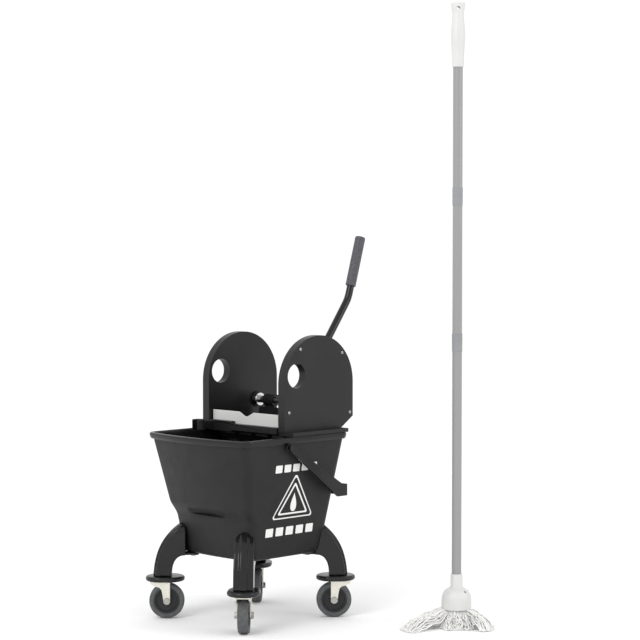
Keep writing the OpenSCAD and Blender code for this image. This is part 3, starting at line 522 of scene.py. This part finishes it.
def front_x(z):
    """The front wall's reach: a lower line and an upper line, joined by a smooth step under the belly."""
    lower = 100.0 + 9.7 * (z - FLOOR) / 81.0
    upper = 126.7 + 30.3 * (z - BELLY) / (RIM - BELLY)
    step = min(1.0, max(0.0, (z - BELLY + BELLY_RISE) / (BELLY_RISE + 2.0)))
    step = step * step * (3 - 2 * step)
    return lower + (upper - lower) * step


def corner(cx, cy, r, start, end, count=9):
    return arc(cx, cy, r, [start + (end - start) * i / count for i in range(count + 1)])


def tub_plan(z, grow, press=0.0):
    """Plan outline at height z, grown by grow; press pushes the front in over the finger recess."""
    y, back, front = side_y(z) + grow, rear_x(z) + grow, front_x(z) + grow
    r = max(18.0 + grow, 5.0)
    bow = 6.0 + 10.0 * (z - FLOOR) / DEEP
    turn = math.atan(2 * bow / (y - r))
    end_y = y - r + r * math.sin(turn)
    end_x = front - r + r * math.cos(turn)
    tilt = math.degrees(turn)
    outline = corner(back - r, -y + r, r, -90, 0) + corner(back - r, y - r, r, 0, 90)
    outline += corner(-front + r, y - r, r, 90, 180 - tilt)
    for i in range(1, 40):
        t = 1 - i / 20
        dent = press * max(0.0, 1 - (t * end_y / 58.0) ** 2)
        outline.append((-end_x - bow * (1 - t * t) + dent, t * end_y))
    outline += corner(-front + r, -y + r, r, 180 + tilt, 270)
    return [(px, py, z) for px, py in outline]


# %% Skin the tub
def tub_levels():
    """Levels of (height, grow, press) from under the floor, up outside, over the rim and down inside."""
    foot = [(FLOOR + FOOT_R - back, grow, 0) for back, grow in arc(0, -FOOT_R, FOOT_R, range(0, 91, 15))]
    recess = [(BELLY - 22.2, 0, 0), (BELLY - 20.8, 0, 7), (BELLY - 12.0, 0, 8), (BELLY - 10.6, 0, 0.6)]
    outside = [(FLOOR + h, 0, 0) for h in (24, 44, 62, 74, 80, 84)] + recess
    outside += [(BELLY + h, 0, 0) for h in (-7, -3, 1, 5, 12, 28, 50, 75, 100, 120, 132.4)]
    bead = [(-13.8, 3.8), (-13.2, 5.4), (-11.5, 6.4), (-8, 6.7), (-4, 6.5), (-1.6, 5.2)]
    bead += [(-0.3, 3.0), (0, 0.8), (-0.2, -1.4), (-1.2, -3.0), (-3.0, -4.0)]
    rim = [(RIM + h, g, 0) for h, g in bead]
    inside = [(z, g - WALL, 8.5 if p > 1 else p) for z, g, p in outside[::-1]]
    inner_foot = [(FLOOR + WALL + FOOT_R - rise, grow - WALL, 0)
                  for grow, rise in arc(-FOOT_R, 0, FOOT_R, range(15, 91, 15))]
    return foot + outside + rim + inside + inner_foot


tub = build("tub_shell", *skin([tub_plan(*level) for level in tub_levels()]), crease=30.0)
dress(tub, "tub")
print("tub has", len(tub.data.polygons), "faces")

# %% [markdown]
# ## Bosses and pads on the tub
# The bail's pins run in bosses under the rim, and pads thicken the floor where the leg screws bite.
# They are part of the same moulding, so they are small lathe turnings in the tub's own plastic.

# %% Turn the bosses and pads
stem_box = [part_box("caster_stem_" + c) for c in CORNERS]
STEMS = [((low + high) / 2 / MM) for low, high in stem_box]
pin_low, pin_high = (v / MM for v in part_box("bail_pins"))
PIN_X, PIN_Z = (pin_low.x + pin_high.x) / 2, (pin_low.z + pin_high.z) / 2
boss_outline = [(0, 0), (6.5, 0), (6.5, 6.6), (5.6, 7.6), (0, 7.6)]
for side, word in ((-1, "near"), (1, "far")):
    wall_y = side_y(PIN_Z) - 0.6
    place = Matrix.Translation(Vector((PIN_X, side * wall_y, PIN_Z)) * MM)
    place = place @ Matrix.Rotation(-side * math.pi / 2, 4, "X")
    boss = build("bail_boss_" + word, *lathe(boss_outline, 40), place=place)
    dress(boss, "tub", hide=False)
pad_outline = [(0, 2), (8, 2), (8, 12.4), (7.2, 13.6), (5.8, 14), (0, 14)]
SCREW_IN = 66.0  # from a caster's stem back to the leg's screw
for stem, word in zip(STEMS, CORNERS):
    flat = Vector((stem.x, stem.y, 0))
    spot = flat.normalized() * (flat.length - SCREW_IN) + Vector((0, 0, FLOOR))
    pad = build("screw_pad_" + word, *lathe(pad_outline, 40), place=Matrix.Translation(spot * MM))
    dress(pad, "tub", hide=False)

# %% [markdown]
# ## Bumper rings
# An oval ring round each leg's foot keeps the bucket from marking walls. Its edge is fully rounded,
# so the lathe can't make it, but a stack of ovals whose inset follows a quarter circle can.

# %% Skin the bumper rings
def oval(cx, span, r, z, turn):
    """An oval of two half circles, span apart, its long way turned by turn."""
    loop = arc(cx + span / 2, 0, r, range(-90, 91, 6)) + arc(cx - span / 2, 0, r, range(90, 271, 6))
    c, s = math.cos(turn), math.sin(turn)
    return [(x * c - y * s, x * s + y * c, z) for x, y in loop]


RING_WIDE, RING_SPAN, RING_IN, ROUND = 69.0, 15.0, 5.5, 5.0
for stem, word in zip(STEMS, CORNERS):
    low, high = (v.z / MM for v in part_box("bumper_" + word))
    turn = math.atan2(stem.y, stem.x)
    centre = Vector((stem.x, stem.y)).length - RING_IN
    levels = []
    for a in range(-90, 91, 15):
        inset = ROUND * (1 - math.cos(math.radians(a)))
        edge = low + ROUND if a < 0 else high - ROUND
        levels.append((edge + ROUND * math.sin(math.radians(a)), inset))
    rings = [oval(centre, RING_SPAN, RING_WIDE / 2 - inset, z, turn) for z, inset in levels]
    dress(build("bumper_ring_" + word, *skin(rings), crease=40.0), "bumper_" + word)

# %% [markdown]
# ## Tyres
# A tyre is a turned shape: two shoulders, a nearly flat tread, and the thin flash line where the two
# halves of its mould met. The lathe spins it about Z, and one matrix stands it up along its axle.

# %% Turn the tyres
def tyre_outline(radius, half, bore):
    shoulder = arc(radius - 4, half - 4, 4, range(0, 91, 15))
    wall = [(bore + 3.4, half), (bore + 2.6, half - 0.7), (bore + 0.9, half - 0.7), (bore, half - 1.6)]
    flash = [(radius, 0.5), (radius + 0.12, 0.18)]
    upper = flash[::-1] + shoulder + wall
    return upper + [(r, -h) for r, h in upper[::-1]] + upper[:1]


TYRE_R, TYRE_HALF, HUB_R = 37.5, 11.5, 27.6
for stem, word in zip(STEMS, CORNERS):
    low, high = (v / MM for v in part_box("tyre_" + word))
    centre = (low + high) / 2
    turn = math.atan2(stem.y, stem.x)
    upright = Matrix.Rotation(turn, 4, "Z") @ Matrix.Rotation(math.pi / 2, 4, "X")
    outline = tyre_outline(TYRE_R, TYRE_HALF, HUB_R)
    tyre = build("tyre_ring_" + word, *lathe(outline, 96), place=Matrix.Translation(centre * MM) @ upright)
    dress(tyre, "tyre_" + word)

# %% [markdown]
# ## Cross-head screws
# Eight small pan-head screws hold the cheek covers. One head is made once, with its cross recess cut
# by a Boolean, and Geometry Nodes set it on every screw's point. The points carry a turn, so that
# each screw was tightened to its own angle, as real ones are.

# %% One screw head
def screw_head(name, radius, rise):
    dome = [(0, 0), (radius, 0), (radius, rise * 0.4), (radius * 0.9, rise * 0.72)]
    dome += [(radius * 0.6, rise * 0.95), (0, rise)]
    head = build(name, *lathe(dome, 28))
    for along in (0, 1):
        long, short = radius * 0.62, radius * 0.13
        x, y = (short, long) if along else (long, short)
        rings = [[(-x, -y, z), (x, -y, z), (x, y, z), (-x, y, z)] for z in (rise * 0.35, rise + 1)]
        cutter = build("cutter", *skin(rings))
        cut = head.modifiers.new("recess", "BOOLEAN")
        cut.operation = "DIFFERENCE"
        cut.object = cutter
        cut.solver = "EXACT"
        flatten(head)
        bpy.data.objects.remove(cutter)
    shade(head, 30)
    return head


def set_on_points(name, points, turns, piece, finish):
    """Geometry Nodes that set one piece on every point with its own turn."""
    mesh = bpy.data.meshes.new(name)
    mesh.from_pydata(points, [], [])
    turn = mesh.attributes.new("turn", "FLOAT_VECTOR", "POINT")
    for item, value in zip(turn.data, turns):
        item.vector = value
    made = bpy.data.objects.new(name, mesh)
    bpy.context.scene.collection.objects.link(made)
    tree = bpy.data.node_groups.new(name + "_layout", "GeometryNodeTree")
    tree.interface.new_socket("Geometry", in_out="INPUT", socket_type="NodeSocketGeometry")
    shape = tree.interface.new_socket("Piece", in_out="INPUT", socket_type="NodeSocketObject")
    tree.interface.new_socket("Geometry", in_out="OUTPUT", socket_type="NodeSocketGeometry")
    start = add(tree, "NodeGroupInput")
    info = add(tree, "GeometryNodeObjectInfo", {"Object": start.outputs["Piece"]})
    own = add(tree, "GeometryNodeInputNamedAttribute", {"Name": "turn"}, data_type="FLOAT_VECTOR")
    placed = add(tree, "GeometryNodeInstanceOnPoints", {
        "Points": start.outputs["Geometry"], "Instance": info.outputs["Geometry"],
        "Rotation": own.outputs[0]})
    real = add(tree, "GeometryNodeRealizeInstances", {0: placed.outputs[0]})
    painted = add(tree, "GeometryNodeSetMaterial", {"Geometry": real.outputs[0], "Material": finish})
    add(tree, "NodeGroupOutput", {0: painted.outputs[0]})
    nodes = made.modifiers.new("layout", "NODES")
    nodes.node_group = tree
    nodes[shape.identifier] = piece
    return flatten(made)


# %% Set the cover screws
chance = random.Random(7)
cover_low, cover_high = (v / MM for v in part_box("cover_near"))
middle = (cover_low.x + cover_high.x) / 2
top_r = (cover_high.x - cover_low.x) / 2
arc_z = cover_high.z - top_r
circle_r = top_r - 9
places = [(middle - circle_r * 0.6, arc_z + circle_r * 0.8)]
places += [(middle + circle_r * 0.74, arc_z + circle_r * 0.6726)]
places += [(cover_low.x + 13, cover_low.z + 40), (cover_high.x - 9.5, cover_low.z + 31)]
HEAD_RISE, HEAD_SEAT = 1.9, 1.6
head = screw_head("screw_head", 3.4, HEAD_RISE)
spots, turns = [], []
for side in (-1, 1):
    face = side * (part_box("cover_screws")[1].y - HEAD_SEAT * MM)
    for x, z in places:
        spots.append(Vector((x * MM, face, z * MM)))
        turns.append((-side * math.pi / 2, chance.uniform(0, 3), 0))
screws = set_on_points("cover_screw_heads", spots, turns, head, FINISH["zinc"])
bpy.data.objects.remove(head)
shade(screws, 30)
dress(screws, "cover_screws")
print(len(spots), "cover screws")

# %% [markdown]
# ## The sign on the tub
# A printed sign on each side wall warns people of wet ground. This one is a plain rounded triangle
# with a drop of water in it, between two rows of plain blocks. Ink is a very thin layer, so it is made as
# flat outlines laid a fifth of a millimetre proud of the wall, and the wall's own slope carries them.

# %% Print the sign
def ink_outline(loops):
    """Flat faces between an outer loop and an optional inner loop of the same length."""
    if len(loops) == 1:
        return loops[0], [tuple(range(len(loops[0])))]
    count = len(loops[0])
    return loops[0] + loops[1], bands(2, count)


def round_triangle(half, low, high, r):
    """A triangle standing on its base, with rounded corners."""
    tips = [Vector((half, low)), Vector((0, high)), Vector((-half, low))]
    middle = sum(tips, Vector((0, 0))) / 3
    loop = []
    for k, tip in enumerate(tips):
        start = math.atan2(*(tip - middle).yx)
        heart = tip + (middle - tip).normalized() * 2 * r
        for a in range(-56, 57, 14):
            turn = start + math.radians(a)
            loop.append(tuple(heart + r * Vector((math.cos(turn), math.sin(turn)))))
    return loop


def drop(width, low, high):
    """A drop of water: a round foot that runs up into a point."""
    loop = []
    for i in range(32):
        t = 2 * math.pi * i / 32
        x = width * math.sin(t) * math.sin(t / 2) ** 1.5
        loop.append((x, low + (high - low) * (0.5 + 0.5 * math.cos(t))))
    return loop


def block(x0, x1, z0, z1, r=1.6):
    loop = []
    corners = ((x1 - r, z1 - r), (x0 + r, z1 - r), (x0 + r, z0 + r), (x1 - r, z0 + r))
    for k, (cx, cz) in enumerate(corners):
        loop += arc(cx, cz, r, (90 * k, 90 * k + 45, 90 * k + 90))
    return loop


SIGN_X = 4.0
marks = [[round_triangle(60, 226, 322, 5), round_triangle(55.6, 228.6, 315.5, 4)], [drop(12, 240, 280)]]
marks += [[round_triangle(44, 234.5, 303, 3), round_triangle(37.5, 238, 295.4, 2)]]
marks += [[block(x, x + 19, 325, 341)] for x in range(-62, 50, 25)]
marks += [[block(x, x + 21, 190, 208)] for x in range(-72, 60, 29)]
for side, word in ((-1, "near"), (1, "far")):
    points, faces = [], []
    for loops in marks:
        flat, own = ink_outline(loops)
        faces += [tuple(i + len(points) for i in f) for f in own]
        points += [(SIGN_X + x, side * (side_y(z) + 0.2), z) for x, z in flat]
    sign = build("printed_sign_" + word, points, faces)
    layer = sign.modifiers.new("ink layer", "SOLIDIFY")
    layer.thickness = 0.15 * MM
    layer.offset = 0
    flatten(sign)
    shade(sign, 20)
    dress(sign, "tub", finish="ink", hide=False)

# %% [markdown]
# ## The lever's grip
# The sleeve is a thick round tube with a closed, rounded end. Its centre line leans, so it is turned
# upright and then one matrix tips it into place. Its middle comes from the frame part's own box, and its
# length is given.

# %% Turn the grip sleeve
grip_low, grip_high = (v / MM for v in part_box("lever_grip"))
GRIP_LEAN = math.radians(16.4)
GRIP_LONG, GRIP_R, TUBE_R = 114.0, 11.5, 8.25
grip_mid = (grip_low + grip_high) / 2
foot = grip_mid - Vector((math.sin(GRIP_LEAN), 0, math.cos(GRIP_LEAN))) * GRIP_LONG / 2
outline = [(TUBE_R, 1), (TUBE_R + 0.6, 0.2), (GRIP_R - 1.4, 0), (GRIP_R - 0.4, 0.4), (GRIP_R, 1.4)]
outline += [(GRIP_R, 9), (GRIP_R - 0.35, 10), (GRIP_R, 11)]
outline += [(GRIP_R, h) for h in (30, 60, 90)]
outline += arc(GRIP_R - 4, GRIP_LONG - 4.3, 4, range(0, 91, 15))
outline += [(3.0, GRIP_LONG), (0, GRIP_LONG), (0, GRIP_LONG - 5), (TUBE_R, GRIP_LONG - 5), (TUBE_R, 1)]
place = Matrix.Translation(foot * MM) @ Matrix.Rotation(GRIP_LEAN, 4, "Y")
grip = build("grip_sleeve", *lathe(outline, 64), place=place)
dress(grip, "lever_grip")

# %% [markdown]
# ## The mop's bell and handle grip
# Both are white mouldings with a full round section, so the lathe makes them from a few points each.
# Curves through the points, sampled finely, give the soft shoulder of the bell and the swell of
# the grip that a straight-sided outline would lack.

# %% Turn the bell and the handle grip
def smooth_line(knots, steps=6):
    """Points along a smooth curve through the knots (Catmull-Rom)."""
    line = []
    padded = [knots[0]] + list(knots) + [knots[-1]]
    for a, b, c, d in zip(padded, padded[1:], padded[2:], padded[3:]):
        for i in range(steps):
            t = i / steps
            line.append(tuple(
                0.5 * (2 * q + (r - p) * t + (2 * p - 5 * q + 4 * r - s) * t * t
                       + (3 * q - p - 3 * r + s) * t ** 3)
                for p, q, r, s in zip(a, b, c, d)))
    return line + [tuple(knots[-1])]


def pierce(made, radius, length, place):
    """Drills a round hole of that length, centred on place and along its Z."""
    rod = [(0, -length / 2), (radius, -length / 2), (radius, length / 2), (0, length / 2)]
    drill = build("drill", *lathe(rod, 32), place=place)
    cut = made.modifiers.new("hole", "BOOLEAN")
    cut.operation = "DIFFERENCE"
    cut.object = drill
    cut.solver = "EXACT"
    flatten(made)
    bpy.data.objects.remove(drill)
    shade(made, 38)


DRAIN_TURN = 268.0
bell_low, bell_high = (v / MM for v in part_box("mop_bell"))
MOP = Vector(((bell_low.x + bell_high.x) / 2, (bell_low.y + bell_high.y) / 2, 0))
BELL_R = (bell_high.x - bell_low.x) / 2
POLE_R = 10.2
dome = smooth_line([
    (BELL_R, bell_low.z + 1), (BELL_R, 50), (BELL_R - 0.7, 62), (BELL_R - 5.5, 74),
    (BELL_R - 13, 79.6), (POLE_R + 4.2, 81.6)])
neck = [(POLE_R + 2.7, 84), (POLE_R + 2.4, 108.4), (POLE_R + 1.4, bell_high.z)]
neck += [(POLE_R + 0.1, bell_high.z), (POLE_R + 0.1, 84)]
hollow = smooth_line([
    (0, 76), (BELL_R - 13, 75), (BELL_R - 4.5, 64), (BELL_R - 3, 50),
    (BELL_R - 3, bell_low.z + 0.6), (BELL_R - 1.4, bell_low.z)])
bell = build("bell_socket", *lathe(hollow + dome + neck + [(0, 84)], 96), place=Matrix.Translation(MOP * MM))
drain_at = MOP + Vector((*arc(0, 0, BELL_R - 9, [DRAIN_TURN])[0], 72))
pierce(bell, 3.0, 30, Matrix.Translation(drain_at * MM)
       @ Matrix.Rotation(math.radians(DRAIN_TURN), 4, "Z") @ Matrix.Rotation(math.radians(40), 4, "Y"))
dress(bell, "mop_bell")

cap_low, cap_high = (v.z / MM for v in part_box("mop_grip"))
swell = smooth_line([
    (12.2, 2), (12.8, 16), (13.3, 32), (14.6, 50), (15.0, 64), (14.6, 78), (13.3, 92),
    (12.6, 104), (12.7, 114), (14.4, 122), (15.0, 128)])
lip = [(10.4, 1), (11.2, 0), (12.0, 0.5)]
crown = [(14.7, 130.6), (13.4, 132), (4, 132), (0, 132)]
grip_points = [(r, cap_low + h) for r, h in lip + swell + crown + [(0, 109), (10.4, 109), (10.4, 1)]]
handle = build("handle_grip", *lathe(grip_points, 96), place=Matrix.Translation(MOP * MM))
pierce(handle, 3.5, 80, Matrix.Translation((MOP + Vector((0, 0, cap_high - 11))) * MM)
       @ Matrix.Rotation(math.radians(45), 4, "Z") @ Matrix.Rotation(math.pi / 2, 4, "Y"))
dress(handle, "mop_grip")

# %% [markdown]
# ## The yarn head
# The head is looped cotton yarn. Each loop leaves the bell, falls over the strands below it, runs out
# along the floor, turns back on itself and returns. Loops lie in bundles, with gaps between them.
# Hair particles would be hard to lay on a floor, so each loop is one guide curve worked out by
# rule with a fixed seed, and Geometry Nodes sweep a three-ply section along it. The section turns
# as it goes, once in each lay of the ply, which gives the twisted look of real yarn.

# %% Lay the guide loops
STRAND_R = 1.55
KNOTS = 16
KINK = 0.9  # how far each knot strays, in mm
BUNCHES = [  # heading and spread in degrees, reach in mm, curl in mm, loops
    (164, 13, 127, 9, 31), (128, 12, 100, 10, 12), (277, 14, 88, 18, 22), (314, 13, 76, 14, 13),
    (180, 16, 45, 10, 9), (200, 12, 54, 10, 7), (228, 22, 45, 9, 15), (254, 12, 52, 9, 8),
    (352, 16, 76, 12, 11), (30, 16, 88, 12, 12), (84, 20, 92, 12, 14),
]


def leg_of_loop(chance, heading, reach, curl, fall, side):
    """One leg of a loop, from inside the bell to its tip. It stays high, then drops to the floor."""
    ray = Vector((math.cos(heading), math.sin(heading), 0))
    across = Vector((-ray.y, ray.x, 0))
    phase, sway, lift = chance.uniform(0, 6.3), chance.uniform(1.5, 4.0), chance.uniform(0.8, 2.2)
    line = []
    for k in range(KNOTS + 1):
        t = k / KNOTS
        loose = min(1, 3 * t)
        r = 20 + (reach - 20) * (t if reach > 66 else t ** 0.75)
        sink = 1 - (1 - fall) * min(1.0, t / 0.3) * (1 - 0.3 * t)
        z = 4 + 34 * (1 - t ** (3.0 if reach > 66 else 1.2)) * sink
        z += loose * (lift * math.sin(14 * t + phase) + chance.gauss(0, KINK))
        drift = curl * t * t + side * (1.0 + 2.4 * t)
        drift += loose * (sway * math.sin(10 * t + phase) + chance.gauss(0, KINK))
        spot = MOP + ray * r + across * drift
        line.append((spot.x, spot.y, max(z - 4 * t, STRAND_R + 0.2)))
    return line


def loop_guide(chance, bunch):
    """A whole loop: out, round its tip and back."""
    heading, spread, reach, curl, loops = bunch
    heading = math.radians(heading + chance.triangular(-spread, spread))
    reach = reach * chance.triangular(0.72, 1.0, 0.97)
    curl = chance.uniform(-curl, curl)
    fall = chance.uniform(0.15, 1.0)
    legs = [leg_of_loop(chance, heading, reach, curl, fall * chance.uniform(0.85, 1), side)
            for side in (-1, 1)]
    ray = Vector((math.cos(heading), math.sin(heading), 0))
    tip = (Vector(legs[0][-1]) + Vector(legs[1][-1])) / 2 + ray * 3.2
    return legs[0] + [(tip.x, tip.y, STRAND_R + 0.2)] + legs[1][::-1]


def lay_guides(name, chance, half):
    curve = bpy.data.curves.new(name, "CURVE")
    curve.dimensions = "3D"
    curve.resolution_u = 4
    for bunch in BUNCHES:
        for _ in range(half, bunch[-1], 2):
            knots = loop_guide(chance, bunch)
            spline = curve.splines.new("BEZIER")
            spline.bezier_points.add(len(knots) - 1)
            for point, knot in zip(spline.bezier_points, knots):
                point.co = Vector(knot) * MM
                point.handle_left_type = point.handle_right_type = "AUTO"
    made = bpy.data.objects.new(name, curve)
    bpy.context.scene.collection.objects.link(made)
    return made


# %% Sweep the yarn along the guides
def yarn_tree():
    """Geometry Nodes: even points, a three-ply section, and a steady twist."""
    tree = bpy.data.node_groups.new("yarn_sweep", "GeometryNodeTree")
    tree.interface.new_socket("Geometry", in_out="INPUT", socket_type="NodeSocketGeometry")
    sizes = {name: tree.interface.new_socket(name, in_out="INPUT", socket_type="NodeSocketFloat")
             for name in ("Strand radius", "Lay length", "Step length")}
    tree.interface.new_socket("Geometry", in_out="OUTPUT", socket_type="NodeSocketGeometry")
    start = add(tree, "NodeGroupInput")
    even = add(tree, "GeometryNodeResampleCurve", {
        "Curve": start.outputs["Geometry"], "Length": start.outputs["Step length"]}, mode="LENGTH")
    along = add(tree, "GeometryNodeSplineParameter").outputs["Length"]
    lays = add(tree, "ShaderNodeMath", {
        0: along, 1: start.outputs["Lay length"]}, operation="DIVIDE").outputs[0]
    turn = add(tree, "ShaderNodeMath", {0: lays, 1: 2 * math.pi}, operation="MULTIPLY").outputs[0]
    tilted = add(tree, "GeometryNodeSetCurveTilt", {"Curve": even.outputs[0], "Tilt": turn})
    own = add(tree, "FunctionNodeRandomValue", {2: 0.0, 3: 1.0, "Seed": 5}, data_type="FLOAT")
    toned = add(
        tree, "GeometryNodeStoreNamedAttribute", {
            "Geometry": tilted.outputs[0], "Name": "tone", "Value": own.outputs[1]},
        data_type="FLOAT", domain="CURVE")
    radius = start.outputs["Strand radius"]
    inner = add(tree, "ShaderNodeMath", {0: radius, 1: 0.72}, operation="MULTIPLY").outputs[0]
    section = add(tree, "GeometryNodeCurveStar", {"Points": 3, "Inner Radius": inner, "Outer Radius": radius})
    swept = add(tree, "GeometryNodeCurveToMesh", {
        "Curve": toned.outputs[0], "Profile Curve": section.outputs[0], "Fill Caps": True})
    smooth = add(tree, "GeometryNodeSetShadeSmooth", {"Geometry": swept.outputs[0]})
    real = add(tree, "GeometryNodeRealizeInstances", {0: smooth.outputs[0]})
    painted = add(tree, "GeometryNodeSetMaterial", {
        "Geometry": real.outputs[0], "Material": FINISH["mop_yarn"]})
    add(tree, "NodeGroupOutput", {0: painted.outputs[0]})
    return tree, sizes


sweep, sizes = yarn_tree()
chance = random.Random(41)
for half, word in ((0, "lower"), (1, "upper")):
    guides = lay_guides("yarn_guides_" + word, chance, half)
    nodes = guides.modifiers.new("sweep", "NODES")
    nodes.node_group = sweep
    nodes[sizes["Strand radius"].identifier] = STRAND_R * MM
    nodes[sizes["Lay length"].identifier] = 11 * MM
    nodes[sizes["Step length"].identifier] = 2.2 * MM
    depsgraph = bpy.context.evaluated_depsgraph_get()
    mesh = bpy.data.meshes.new_from_object(guides.evaluated_get(depsgraph), depsgraph=depsgraph)
    bpy.data.objects.remove(guides)
    yarn = bpy.data.objects.new("yarn_" + word, mesh)
    bpy.context.scene.collection.objects.link(yarn)
    dress(yarn, "mop_yarn")
    print(yarn.name, "has", sum(len(p.vertices) - 2 for p in mesh.polygons), "triangles")

# %% [markdown]
# ## Floor and light
# The object stands on a plain pale floor under soft studio light. A bright, even sky fills the
# shadows, a large soft box on the left gives the long highlights on the glossy legs and the lever,
# and a weaker one on the right opens the far sides.

# %% Floor
def plain_floor():
    material = start_material(
        "floor_white_sweep", Base_Color=linear("#fbfbfb"), Roughness=1.0, Specular_IOR_Level=0.0)[0]
    span, below = 30000, 0.6
    corners = [(-span, -span, 0), (span, -span, 0), (span, span, 0), (-span, span, 0)]
    floor = build("floor", corners, [(0, 1, 2, 3)])
    floor.data.materials.append(material)
    floor.location.z = -below * MM
    floor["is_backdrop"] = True


plain_floor()

# %% Lights
def soft_box(name, where, aim, size, power):
    lamp = bpy.data.lights.new(name, "AREA")
    lamp.shape = "RECTANGLE"
    lamp.size, lamp.size_y = size
    lamp.energy = power
    made = bpy.data.objects.new(name, lamp)
    made.location = where
    made.rotation_euler = (Vector(aim) - Vector(where)).to_track_quat("-Z", "Y").to_euler()
    bpy.context.scene.collection.objects.link(made)


sky = bpy.data.worlds.new("sky")
bpy.context.scene.world = sky
sky.use_nodes = True
sky.node_tree.nodes["Background"].inputs["Color"].default_value = (1, 1, 1, 1)
sky.node_tree.nodes["Background"].inputs["Strength"].default_value = 1.05
soft_box("key", (-3.2, -0.6, 2.6), (0, -0.1, 0.4), (1.6, 2.2), 46)
soft_box("fill", (1.6, -3.6, 1.8), (0, -0.1, 0.4), (1.2, 2.0), 22)
bpy.context.scene.view_settings.view_transform = "Standard"

# %% [markdown]
# ## The size of the finished pieces
# The finished pieces must not outgrow the frame, so the box round everything that renders is printed.

# %% Print the visual box
low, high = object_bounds()
print("visual box, mm:", [round(v / MM) for v in low], [round(v / MM) for v in high])
